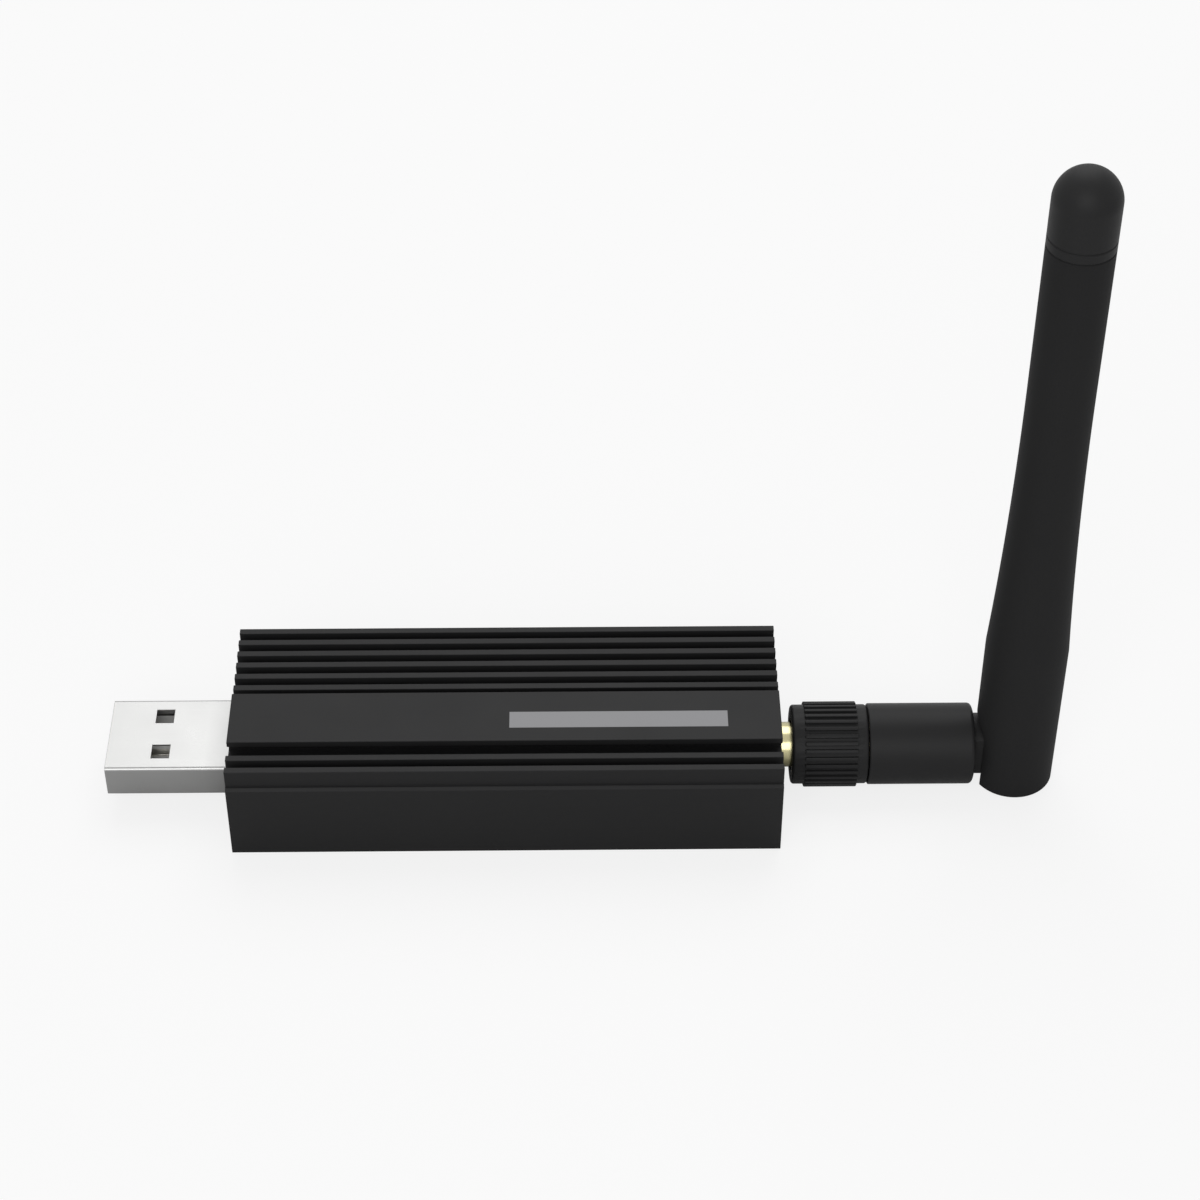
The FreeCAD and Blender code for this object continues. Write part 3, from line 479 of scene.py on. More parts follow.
def centred(tree, value):
    """A value between 0 and 1, shifted to lie round 0."""
    return calculate(tree, "SUBTRACT", value, 0.5)


def shaded(tree, colour_socket, factor):
    """A colour times a number."""
    node = tree.nodes.new("ShaderNodeVectorMath")
    node.operation = "SCALE"
    tree.links.new(colour_socket, node.inputs[0])
    tree.links.new(factor, node.inputs["Scale"])
    return node.outputs[0]


def surface_grain_group():
    """Fine grain over a broad, faint unevenness: for resin, plating and anodising."""
    name = "surface grain"
    if name in bpy.data.node_groups:
        return bpy.data.node_groups[name]
    inputs = [("Vector", VECTOR, None), ("Colour", COLOUR, (1, 1, 1, 1)),
              ("Grain Size", NUMBER, 0.15 * MM), ("Cloud Size", NUMBER, 6 * MM),
              ("Grain Contrast", NUMBER, 0.1), ("Cloud Contrast", NUMBER, 0.05),
              ("Roughness", NUMBER, 0.5), ("Roughness Spread", NUMBER, 0.05)]
    outputs = [("Colour", COLOUR), ("Roughness", NUMBER), ("Height", NUMBER)]
    tree, start, end = new_group(name, inputs, outputs)
    given = start.outputs
    height = noise(tree, given["Vector"], given["Grain Size"], 2.0)
    fine = centred(tree, height)
    cloud = centred(tree, noise(tree, given["Vector"], given["Cloud Size"], 3.0))
    factor = calculate(tree, "ADD", calculate(tree, "MULTIPLY", fine, given["Grain Contrast"]),
                       calculate(tree, "MULTIPLY", cloud, given["Cloud Contrast"]))
    factor = calculate(tree, "ADD", factor, 1.0)
    tree.links.new(shaded(tree, given["Colour"], factor), end.inputs["Colour"])
    spread = calculate(tree, "MULTIPLY", calculate(tree, "ADD", fine, cloud),
                       given["Roughness Spread"])
    tree.links.new(calculate(tree, "ADD", given["Roughness"], spread, clamp=True),
                   end.inputs["Roughness"])
    tree.links.new(height, end.inputs["Height"])
    return tree


def drawn_lines_group():
    """Long faint lines along X, as drawing, rolling or turning leaves them."""
    name = "drawn lines"
    if name in bpy.data.node_groups:
        return bpy.data.node_groups[name]
    inputs = [("Vector", VECTOR, None), ("Colour", COLOUR, (1, 1, 1, 1)),
              ("Line Width", NUMBER, 0.1 * MM), ("Contrast", NUMBER, 0.1)]
    tree, start, end = new_group(name, inputs, [("Colour", COLOUR), ("Height", NUMBER)])
    stretch = tree.nodes.new("ShaderNodeMapping")
    stretch.inputs["Scale"].default_value = (0.012, 1.0, 1.0)
    tree.links.new(start.outputs["Vector"], stretch.inputs["Vector"])
    line = noise(tree, stretch.outputs[0], start.outputs["Line Width"], 3.0, 0.6)
    part = calculate(tree, "MULTIPLY", centred(tree, line), start.outputs["Contrast"])
    factor = calculate(tree, "ADD", part, 1.0)
    tree.links.new(shaded(tree, start.outputs["Colour"], factor), end.inputs["Colour"])
    tree.links.new(line, end.inputs["Height"])
    return tree


def window_group():
    """A mask that is 1 inside a rectangle in X and Y above one height."""
    name = "rectangle mask"
    if name in bpy.data.node_groups:
        return bpy.data.node_groups[name]
    inputs = [("Vector", VECTOR, None), ("Middle X", NUMBER, 0.0), ("Middle Y", NUMBER, 0.0),
              ("Half X", NUMBER, MM), ("Half Y", NUMBER, MM), ("Lowest Z", NUMBER, 0.0),
              ("Edge", NUMBER, 0.03 * MM)]
    tree, start, end = new_group(name, inputs, [("Mask", NUMBER)])
    split = tree.nodes.new("ShaderNodeSeparateXYZ")
    tree.links.new(start.outputs["Vector"], split.inputs[0])
    result = None
    for side in "XY":
        off = calculate(tree, "ABSOLUTE",
                        calculate(tree, "SUBTRACT", split.outputs[side],
                                  start.outputs["Middle " + side]))
        room = calculate(tree, "SUBTRACT", start.outputs["Half " + side], off)
        soft = calculate(tree, "DIVIDE", room, start.outputs["Edge"], clamp=True)
        result = soft if result is None else calculate(tree, "MULTIPLY", result, soft)
    above = calculate(tree, "GREATER_THAN", split.outputs["Z"], start.outputs["Lowest Z"])
    tree.links.new(calculate(tree, "MULTIPLY", result, above), end.inputs["Mask"])
    return tree


def new_material(name):
    """An empty material with one Principled shader and the object's coordinates."""
    material = bpy.data.materials.new(name)
    material.use_nodes = True
    tree = material.node_tree
    tree.nodes.clear()
    shader = tree.nodes.new("ShaderNodeBsdfPrincipled")
    output = tree.nodes.new("ShaderNodeOutputMaterial")
    place = tree.nodes.new("ShaderNodeTexCoord").outputs["Object"]
    tree.links.new(shader.outputs[0], output.inputs["Surface"])
    return material, tree, shader, place


def use_group(tree, group, vector, **values):
    """Place a group in a material with its own values; names use _ for a space."""
    node = tree.nodes.new("ShaderNodeGroup")
    node.node_tree = group
    tree.links.new(vector, node.inputs["Vector"])
    for key, value in values.items():
        socket = node.inputs[key.replace("_", " ")]
        if isinstance(value, bpy.types.NodeSocket):
            tree.links.new(value, socket)
        elif socket.type == "RGBA":
            socket.default_value = (*value, 1.0)
        else:
            socket.default_value = value
    return node


def raise_surface(tree, shader, heights):
    """Bump from (height, depth in metres) pairs, one after another."""
    normal = None
    for height, depth in heights:
        bump = tree.nodes.new("ShaderNodeBump")
        bump.inputs["Distance"].default_value = depth
        bump.inputs["Strength"].default_value = 1.0
        tree.links.new(height, bump.inputs["Height"])
        if normal is not None:
            tree.links.new(normal, bump.inputs["Normal"])
        normal = bump.outputs["Normal"]
    tree.links.new(normal, shader.inputs["Normal"])


def mixed_colour(tree, factor, first, second):
    """Mix two colours; each is an output or plain numbers."""
    node = tree.nodes.new("ShaderNodeMix")
    node.data_type = "RGBA"
    tree.links.new(factor, node.inputs["Factor"])
    for socket, value in ((node.inputs[6], first), (node.inputs[7], second)):
        if isinstance(value, bpy.types.NodeSocket):
            tree.links.new(value, socket)
        else:
            socket.default_value = (*value, 1.0)
    return node.outputs[2]


def grained(name, base, roughness, metallic=0.0, specular=0.5, grain=0.15, cloud=6.0,
            contrast=0.12, clouding=0.06, spread=0.08, depth=0.002):
    """A finish with fine grain: sizes of grain, cloud and depth in millimetres."""
    material, tree, shader, place = new_material(name)
    node = use_group(tree, surface_grain_group(), place, Colour=base, Grain_Size=grain * MM,
                     Cloud_Size=cloud * MM, Grain_Contrast=contrast, Cloud_Contrast=clouding,
                     Roughness=roughness, Roughness_Spread=spread)
    tree.links.new(node.outputs["Colour"], shader.inputs["Base Color"])
    tree.links.new(node.outputs["Roughness"], shader.inputs["Roughness"])
    shader.inputs["Metallic"].default_value = metallic
    shader.inputs["Specular IOR Level"].default_value = specular
    raise_surface(tree, shader, [(node.outputs["Height"], depth * MM)])
    return material


def moulded(name, roughness=0.65, specular=0.07):
    """The antenna's black resin, a little glossier on its turned pieces."""
    return grained(name, tuple(settings().antenna.resin), roughness, specular=specular, grain=0.11,
                   cloud=7.0, contrast=0.3, clouding=0.12, spread=0.1, depth=0.003)


def anodised_material(name, base, bar=None):
    """Fine-blasted anodised aluminium with faint lines along it, and maybe a printed bar."""
    material, tree, shader, place = new_material(name)
    grain = use_group(tree, surface_grain_group(), place, Colour=base, Grain_Size=0.09 * MM,
                      Cloud_Size=9 * MM, Grain_Contrast=0.35, Cloud_Contrast=0.1,
                      Roughness=0.52, Roughness_Spread=0.12)
    lines = use_group(tree, drawn_lines_group(), place, Colour=grain.outputs["Colour"],
                      Line_Width=0.16 * MM, Contrast=0.16)
    finish = lines.outputs["Colour"]
    if bar:
        middle_x, middle_y, half_x, half_y = bar
        mask = use_group(tree, window_group(), place, Middle_X=middle_x, Middle_Y=middle_y,
                         Half_X=half_x, Half_Y=half_y, Lowest_Z=HOUSING_HIGH.z - OVERLAP)
        grey = tuple(settings().housing.print_grey)
        finish = mixed_colour(tree, mask.outputs["Mask"], finish, grey)
    tree.links.new(finish, shader.inputs["Base Color"])
    tree.links.new(grain.outputs["Roughness"], shader.inputs["Roughness"])
    shader.inputs["Specular IOR Level"].default_value = 0.15
    raise_surface(tree, shader, [(grain.outputs["Height"], 0.0035 * MM),
                                 (lines.outputs["Height"], 0.0015 * MM)])
    return material


def plated_shell_material(name, base):
    """Rolled and nickel-plated sheet, with painted shade that darkens it towards the housing."""
    material, tree, shader, place = new_material(name)
    grain = use_group(tree, surface_grain_group(), place, Colour=base, Grain_Size=0.12 * MM,
                      Cloud_Size=4 * MM, Grain_Contrast=0.05, Cloud_Contrast=0.05,
                      Roughness=0.3, Roughness_Spread=0.1)
    lines = use_group(tree, drawn_lines_group(), place, Colour=grain.outputs["Colour"],
                      Line_Width=0.06 * MM, Contrast=0.07)
    tree.links.new(grain.outputs["Roughness"], shader.inputs["Roughness"])
    shader.inputs["Metallic"].default_value = 1.0
    split = tree.nodes.new("ShaderNodeSeparateXYZ")
    tree.links.new(place, split.inputs[0])
    # Painted shade: the sheet's colour darkens over the last stretch before the housing, towards a
    # darker copy of its own colour
    painted_shade = tree.nodes.new("ShaderNodeMapRange")
    tree.links.new(split.outputs["X"], painted_shade.inputs["Value"])
    painted_shade.inputs["From Min"].default_value = HOUSING_LOW.x - SHADE_PAINTED_LENGTH
    painted_shade.inputs["From Max"].default_value = HOUSING_LOW.x
    painted_shade.inputs["To Max"].default_value = SHADE_PAINTED_SHARE
    painted_shade_colour = tuple(SHADE_PAINTED_TONE * share for share in base)
    colour = mixed_colour(tree, painted_shade.outputs["Result"], lines.outputs["Colour"], painted_shade_colour)
    tree.links.new(colour, shader.inputs["Base Color"])
    off = calculate(tree, "ABSOLUTE", split.outputs["Y"])
    near = calculate(tree, "LESS_THAN", off, SEAM_HALF)
    under = calculate(tree, "LESS_THAN", split.outputs["Z"], PLUG_LOW.z + SEAM_HEIGHT)
    seam = calculate(tree, "MULTIPLY", near, under)
    open_seam = calculate(tree, "SUBTRACT", 1.0, seam)
    raise_surface(tree, shader, [(lines.outputs["Height"], 0.0008 * MM), (open_seam, SEAM_DEPTH)])
    return material


def board_material(name, board):
    """Solder mask over tracks: broad tracks show a little lighter than the bare board."""
    material, tree, shader, place = new_material(name)
    cells = tree.nodes.new("ShaderNodeTexVoronoi")
    cells.distance = "CHEBYCHEV"
    cells.feature = "F1"
    cells.inputs["Scale"].default_value = 1.0 / (2.2 * MM)
    tree.links.new(place, cells.inputs["Vector"])
    tracks = calculate(tree, "GREATER_THAN", cells.outputs["Distance"], 0.42)
    mix = mixed_colour(tree, tracks, tuple(board.mask), tuple(board.track))
    grain = use_group(tree, surface_grain_group(), place, Colour=mix, Grain_Size=0.3 * MM,
                      Cloud_Size=5 * MM, Grain_Contrast=0.06, Cloud_Contrast=0.08,
                      Roughness=0.3, Roughness_Spread=0.06)
    tree.links.new(grain.outputs["Colour"], shader.inputs["Base Color"])
    tree.links.new(grain.outputs["Roughness"], shader.inputs["Roughness"])
    raise_surface(tree, shader, [(tracks, 0.03 * MM)])
    return material


# Pieces

class RADIOSTICK_OT_housing(bpy.types.Operator):
    """Finish the finned extrusion: broken edges, blasted anodising and a plain printed bar"""
    bl_idname = "radio_stick.housing"
    bl_label = "Finned housing"

    def execute(self, context):
        housing = settings().housing
        piece = copy_of("finned_housing", "extruded_housing")
        self.chamfer_ledges(piece, housing)
        break_edges(piece, housing.edge)
        smooth(piece)
        bar = (housing.print_place, -housing.print_front, housing.print_long, housing.print_wide)
        fit(piece, "finned_housing", anodised_material("dark anodising", tuple(housing.metal), bar))
        return {"FINISHED"}

    def chamfer_ledges(self, piece, housing):
        """Chamfer the two long edges below the outer fins."""
        group = piece.vertex_groups.new(name="ledges")
        corners = [point.index for point in piece.data.vertices
                   if abs(abs(point.co.y) - HOUSING_HIGH.y) < 0.01 * MM
                   and abs(point.co.z - housing.ledge_height) < 0.01 * MM]
        group.add(corners, 1.0, "REPLACE")
        modify(piece, "BEVEL", width=housing.ledge_chamfer, segments=1, limit_method="VGROUP",
               vertex_group=group.name, loop_slide=False)
        piece.vertex_groups.clear()


class RADIOSTICK_OT_end_plates(bpy.types.Operator):
    """Finish both end plates, and model their four countersunk screws"""
    bl_idname = "radio_stick.end_plates"
    bl_label = "End plates and screws"

    def execute(self, context):
        housing = settings().housing
        metal = anodised_material("plate anodising", tuple(housing.metal))
        dress("usb_end_plate", "plug_side_plate", housing.edge, metal)
        dress("antenna_end_plate", "antenna_side_plate", housing.edge, metal)
        screws = self.four_screws(housing)
        smooth(screws)
        black_zinc = grained("black zinc", (0.09, 0.09, 0.095), 0.3, metallic=1.0, grain=0.08,
                             cloud=1.0, contrast=0.1, depth=0.001)
        fit(screws, "end_screws", black_zinc)
        return {"FINISHED"}

    def four_screws(self, housing):
        """Two screws side by side at the jack's end, and both again at the plug's end."""
        low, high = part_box("end_screws")
        beside = high.y - housing.screw_head
        screws = self.screw(housing, Vector((high.x, beside, (low.z + high.z) / 2)))
        self.add_copy(screws, lambda: bpy.ops.transform.translate(value=(0, -2 * beside, 0)))
        self.add_copy(screws, lambda: bpy.ops.transform.rotate(
            value=math.pi, orient_axis="Z", center_override=(0, 0, 0)))
        return screws

    def add_copy(self, piece, move):
        """Copy a piece, move the copy and join it to the piece."""
        twin = piece.copy()
        twin.data = piece.data.copy()
        bpy.context.scene.collection.objects.link(twin)
        edit(twin)
        move()
        done_editing()
        choose(piece)
        twin.select_set(True)
        bpy.ops.object.join()

    def screw(self, housing, place):
        """One screw whose head looks along +X: a cone, a shank with a lead and a cross recess."""
        edge = housing.screw_edge
        head = housing.screw_head
        shank = housing.screw_shank
        slope = (head - shank) / housing.screw_sink
        tip = place.x - housing.screw_length
        outline = [(place.x, 0), (place.x, head - edge), (place.x - edge, head - edge * slope),
                   (place.x - housing.screw_sink, shank), (tip + shank / 3, shank),
                   (tip, shank * 2 / 3), (tip, 0)]
        points = [(x, place.y, place.z + radius) for x, radius in outline]
        screw = turned("countersunk_screws", points, place, (1.0, 0.0, 0.0), PIN_STEPS)
        half_long = housing.recess_length / 2
        half_wide = housing.recess_width / 2
        for half_y, half_z in ((half_long, half_wide), (half_wide, half_long)):
            floor = place.x - housing.recess_depth
            bar = block("recess bar", (floor, place.y - half_y, place.z - half_z),
                        (place.x + MM, place.y + half_y, place.z + half_z))
            for vertex in bar.data.vertices:
                vertex.select = vertex.co.x < place.x
            choose(bar)
            bpy.ops.object.mode_set(mode="EDIT")
            bpy.ops.transform.resize(value=(1.0, 0.4, 0.4),
                                     center_override=(floor, place.y, place.z))
            done_editing()
            cut(screw, bar)
        return screw


class RADIOSTICK_OT_usb_plug(bpy.types.Operator):
    """Finish the USB plug: folded shell, tongue and four contacts"""
    bl_idname = "radio_stick.usb_plug"
    bl_label = "USB plug"

    def execute(self, context):
        plug = settings().plug
        dress("usb_shell", "folded_shell", plug.edge,
              plated_shell_material("nickel sheet", tuple(plug.nickel)))
        dress("usb_insulator", "plug_tongue", plug.edge,
              grained("white moulded tongue", tuple(plug.resin), 0.45, grain=0.1, contrast=0.04,
                      depth=0.002))
        dress("usb_contacts", "plug_contacts", plug.edge,
              grained("plated contacts", tuple(plug.plating), 0.3, metallic=1.0, grain=0.05,
                      depth=0.0006))
        return {"FINISHED"}


class RADIOSTICK_OT_board(bpy.types.Operator):
    """Give the board inside and all that stands on it their finishes"""
    bl_idname = "radio_stick.board"
    bl_label = "Board and its parts"

    def execute(self, context):
        board = settings().board
        paint(board_material("solder mask", board), "main_board")
        paint(grained("moulded epoxy", tuple(board.chip), 0.55, grain=0.06, contrast=0.3,
                      depth=0.004), "bridge_chip", "radio_chip", "regulator")
        paint(grained("nickel can", (0.62, 0.61, 0.59), 0.28, metallic=1.0, grain=0.07,
                      depth=0.0008), "crystals", "button_base")
        paint(grained("fired ceramic", (0.42, 0.33, 0.22), 0.6, grain=0.05, contrast=0.25,
                      depth=0.002), "board_passives")
        paint(grained("cast lamp resin", (0.78, 0.8, 0.68), 0.2, grain=0.2, contrast=0.05,
                      depth=0.001), "status_leds")
        paint(grained("button resin", (0.03, 0.03, 0.032), 0.45, grain=0.06, contrast=0.2,
                      depth=0.002), "button_cap")
        return {"FINISHED"}


class RADIOSTICK_OT_antenna_jack(bpy.types.Operator):
    """Model the gold jack with its real thread, and finish its core and contact"""
    bl_idname = "radio_stick.antenna_jack"
    bl_label = "Antenna jack"

    def execute(self, context):
        jack = settings().jack
        height = settings().antenna.axis_height
        start = jack.thread_start
        end = start + jack.thread_length
        root = jack.thread_radius - jack.thread_depth
        thread = self.thread(jack, start, end, root)
        lead = jack.lead
        outer = jack.thread_radius + lead
        envelope = [(start, 0), (start, root), (start + lead, jack.thread_radius),
                    (start + lead, outer), (end - lead, outer),
                    (end - lead, jack.thread_radius), (end, jack.thread_radius - lead), (end, 0)]
        cut(thread, turned_x("thread envelope", envelope), "INTERSECT")
        face = end - jack.mouth_depth
        cut(thread, rod("core bore", jack.core_radius, (start - MM, 0, height),
                        (face + OVERLAP, 0, height)))
        cut(thread, rod("mouth", jack.mouth_radius, (face, 0, height), (end + MM, 0, height)))
        body = copy_of("antenna_jack", "jack_with_thread")
        reach = jack.thread_radius * 2
        cut(body, block("beyond the neck", (start, -reach, height - reach),
                        (end + MM, reach, height + reach)))
        break_edges(body, jack.edge)
        choose(body)
        thread.select_set(True)
        bpy.ops.object.join()
        smooth(body, SHARP_ON_THREAD)
        gold = grained("turned gold", tuple(jack.gold), 0.22, metallic=1.0, grain=0.1, cloud=1.5,
                       contrast=0.05, depth=0.0008)
        fit(body, "antenna_jack", gold)
        paint(grained("white core", (0.75, 0.75, 0.73), 0.4, grain=0.1, contrast=0.04,
                      depth=0.002), "jack_insulator")
        paint(grained("gold socket", tuple(jack.gold), 0.18, metallic=1.0, grain=0.05,
                      contrast=0.05, depth=0.0005), "jack_contact")
        return {"FINISHED"}

    def thread(self, jack, start, end, root):
        """One turn's ridge, wound along the axis and trimmed square at both ends."""
        pitch = jack.thread_pitch
        crest = jack.thread_radius
        first = start - 2 * pitch
        ridge = [(first, 0, root), (first + pitch / 8, 0, root), (first + pitch / 2, 0, crest),
                 (first + pitch * 5 / 8, 0, crest), (first + pitch, 0, root)]
        piece = drawn("wound thread", ridge)
        turns = math.ceil((end - first) / pitch) + 2
        modify(piece, "SCREW", axis="X", angle=math.tau, screw_offset=pitch, iterations=turns,
               steps=PIN_STEPS, render_steps=PIN_STEPS, use_merge_vertices=False)
        edit(piece)
        bpy.ops.mesh.remove_doubles(threshold=0.002 * MM)
        bpy.ops.transform.translate(value=(0, 0, settings().antenna.axis_height))
        for place, direction in ((start - pitch / 2, -1), (end + pitch / 2, 1)):
            bpy.ops.mesh.select_all(action="SELECT")
            bpy.ops.mesh.bisect(plane_co=(place, 0, 0), plane_no=(direction, 0, 0), use_fill=True,
                                clear_outer=True, threshold=0.0001 * MM)
        bpy.ops.mesh.select_all(action="SELECT")
        bpy.ops.mesh.normals_make_consistent(inside=False)
        done_editing()
        return piece


class RADIOSTICK_OT_coupling(bpy.types.Operator):
    """Finish the nut and what it turns on: ferrule, ring, core, pin and coax"""
    bl_idname = "radio_stick.coupling"
    bl_label = "Coupling"

    def execute(self, context):
        brass = grained("plated brass", tuple(settings().antenna.brass), 0.26, metallic=1.0,
                        grain=0.1, cloud=2.0, contrast=0.06, depth=0.001)
        nut = copy_of("coupling_nut", "six_sided_nut")
        lip = settings().antenna.grip_lip
        cut(nut, block("lip room", (GRIP_LOW.x - MM, GRIP_LOW.y, GRIP_LOW.z),
                       (GRIP_LOW.x + lip, GRIP_HIGH.y, GRIP_HIGH.z)))
        break_edges(nut, settings().jack.edge)
        smooth(nut)
        fit(nut, "coupling_nut", brass)
        paint(brass, "plug_ferrule")
        paint(grained("spring bronze", (0.5, 0.34, 0.2), 0.3, metallic=1.0, grain=0.08,
                      depth=0.001), "retaining_ring")
        paint(grained("white plug core", (0.75, 0.75, 0.73), 0.4, grain=0.1, contrast=0.04,
                      depth=0.002), "plug_insulator")
        paint(grained("gold pin", (0.86, 0.66, 0.3), 0.18, metallic=1.0, grain=0.05,
                      depth=0.0005), "plug_pin")
        paint(grained("cable jacket", (0.02, 0.02, 0.021), 0.5, grain=0.12, contrast=0.15,
                      depth=0.003), "feed_coax", "whip_coax")
        return {"FINISHED"}


class RADIOSTICK_OT_nut_grip(bpy.types.Operator):
    """Model the ribbed grip: rounded sleeve, raised ribs and six-sided bore"""
    bl_idname = "radio_stick.nut_grip"
    bl_label = "Nut grip"

    def execute(self, context):
        antenna = settings().antenna
        height = antenna.axis_height
        low, high = GRIP_LOW.x, GRIP_HIGH.x
        start = low + antenna.knurl_inset
        end = start + antenna.knurl_length
        sides = antenna.knurl_ribs * 4
        rounding = antenna.grip_rounding
        radius = antenna.grip_radius
        middle = radius - rounding
        outline = [(low, 0)]
        outline += arc((low + rounding, middle), rounding, 180, 90, GRIP_CORNER_STEPS)
        outline += [(start, radius), (end, radius)]
        outline += arc((high - rounding, middle), rounding, 90, 0, GRIP_CORNER_STEPS)
        outline.append((high, 0))
        grip = turned_x("ribbed_grip", outline, sides)
        self.raise_ribs(grip, start, end, sides)
        break_edges(grip, antenna.knurl_edge, SHARP_ON_RIBS)
        flats = antenna.nut_flats / math.sqrt(3)
        lip = low + antenna.grip_lip
        cut(grip, rod("hexagon", flats, (lip, 0, height), (high + MM, 0, height), 6))
        cut(grip, rod("lip bore", antenna.lip_bore, (low - MM, 0, height), (lip + MM, 0, height)))
        smooth(grip)
        fit(grip, "nut_grip", moulded("ribbed resin", 0.42, 0.11))
        return {"FINISHED"}

    def raise_ribs(self, grip, start, end, sides):
        """Raise two of every four faces of the middle band."""
        antenna = settings().antenna
        choose(grip)
        for face in grip.data.polygons:
            centre = face.center
            across = Vector((0, centre.y, centre.z - antenna.axis_height))
            inside = start < centre.x < end and abs(face.normal.x) < 0.1
            angle = math.degrees(math.atan2(-across.y, across.z)) % 360
            sector = int(angle / (360 / sides)) % 4
            face.select = inside and sector in (0, 1)
        for vertex in grip.data.vertices:
            vertex.select = False
        for edge in grip.data.edges:
            edge.select = False
        bpy.ops.object.mode_set(mode="EDIT")
        bpy.ops.mesh.select_mode(type="FACE")
        bpy.ops.mesh.extrude_region_shrink_fatten(
            TRANSFORM_OT_shrink_fatten={"value": antenna.knurl_radius - antenna.grip_radius})
        done_editing()


class RADIOSTICK_OT_swivel_barrel(bpy.types.Operator):
    """Model the barrel with its dished end, flat-sided neck and round knuckle"""
    bl_idname = "radio_stick.swivel_barrel"
    bl_label = "Swivel barrel"

    def execute(self, context):
        antenna = settings().antenna
        height = antenna.axis_height
        pivot = (antenna.pivot, 0, height)
        barrel = self.body(antenna)
        cut(barrel, self.knuckle(antenna, pivot), "UNION")
        for side in (-1, 1):
            inner = side * (antenna.knuckle_half - PIN_ROOT)
            outer = side * antenna.trunnion_reach
            pin = rod("trunnion", antenna.trunnion_radius, (pivot[0], inner, height),
                      (pivot[0], outer, height), PIN_STEPS)
            cut(barrel, pin, "UNION")
        self.bore(barrel, antenna)
        break_edges(barrel, antenna.edge, SHARP_ON_ANTENNA)
        smooth(barrel)
        barrel.name = "turning_barrel"
        fit(barrel, "swivel_barrel", moulded("barrel resin", 0.42, 0.11))
        return {"FINISHED"}

    def body(self, antenna):
        """The round barrel, closed behind, with the dish that clears the whip's foot."""
        start = BARREL_LOW.x
        end = antenna.barrel_end
        radius = antenna.barrel_radius
        chamfer = antenna.barrel_chamfer
        rounding = antenna.barrel_rounding
        outline = [(start, 0), (start, radius - chamfer), (start + chamfer, radius)]
        outline += arc((end - rounding, radius - rounding), rounding, 90, 0, BARREL_CORNER_STEPS)
        floor = end - antenna.dish_depth
        outline += [(end, antenna.dish_rim), (floor, antenna.dish_floor), (floor, 0)]
        return turned_x("barrel body", outline)

    def knuckle(self, antenna, pivot):
        """The flat-sided neck and its disc, grooved for the cable."""
        radius = antenna.neck_radius
        half = antenna.knuckle_half
        crest = antenna.knuckle_crest
        outline = [(-half, 0), (-half, antenna.knuckle_rim), (-crest, radius), (crest, radius),
                   (half, antenna.knuckle_rim), (half, 0)]
        points = [(pivot[0], y, pivot[2] + r) for y, r in outline]
        knuckle = turned("knuckle", points, pivot, (0.0, 1.0, 0.0))
        start = antenna.barrel_end - antenna.dish_depth - MM
        neck = rod("neck", radius - ROUND_STEP, (start, 0, pivot[2]), pivot)
        reach = 4 * radius
        side = half - FLAT_STEP
        slab = block("slab", (start - MM, -side, pivot[2] - reach),
                     (pivot[0] + reach, side, pivot[2] + reach))
        cut(neck, slab, "INTERSECT")
        cut(knuckle, neck, "UNION")
        half = antenna.cable_half
        groove = block("cable groove", (pivot[0] - half, -half, pivot[2] - half),
                       (pivot[0] + reach, half, pivot[2] + reach))
        cut(knuckle, groove)
        return knuckle

    def bore(self, barrel, antenna):
        """The bores for the shank, its snap flange and the cable."""
        start = BARREL_LOW.x - MM
        shank_end = BARREL_LOW.x + antenna.shank_length
        pocket_end = shank_end + antenna.snap_length
        outline = [(start, 0), (start, antenna.shank_bore), (shank_end, antenna.shank_bore),
                   (shank_end, antenna.snap_bore), (pocket_end, antenna.snap_bore),
                   (pocket_end, antenna.cable_bore), (antenna.pivot, antenna.cable_bore),
                   (antenna.pivot, 0)]
        cut(barrel, turned_x("bores", outline, BORE_STEPS))


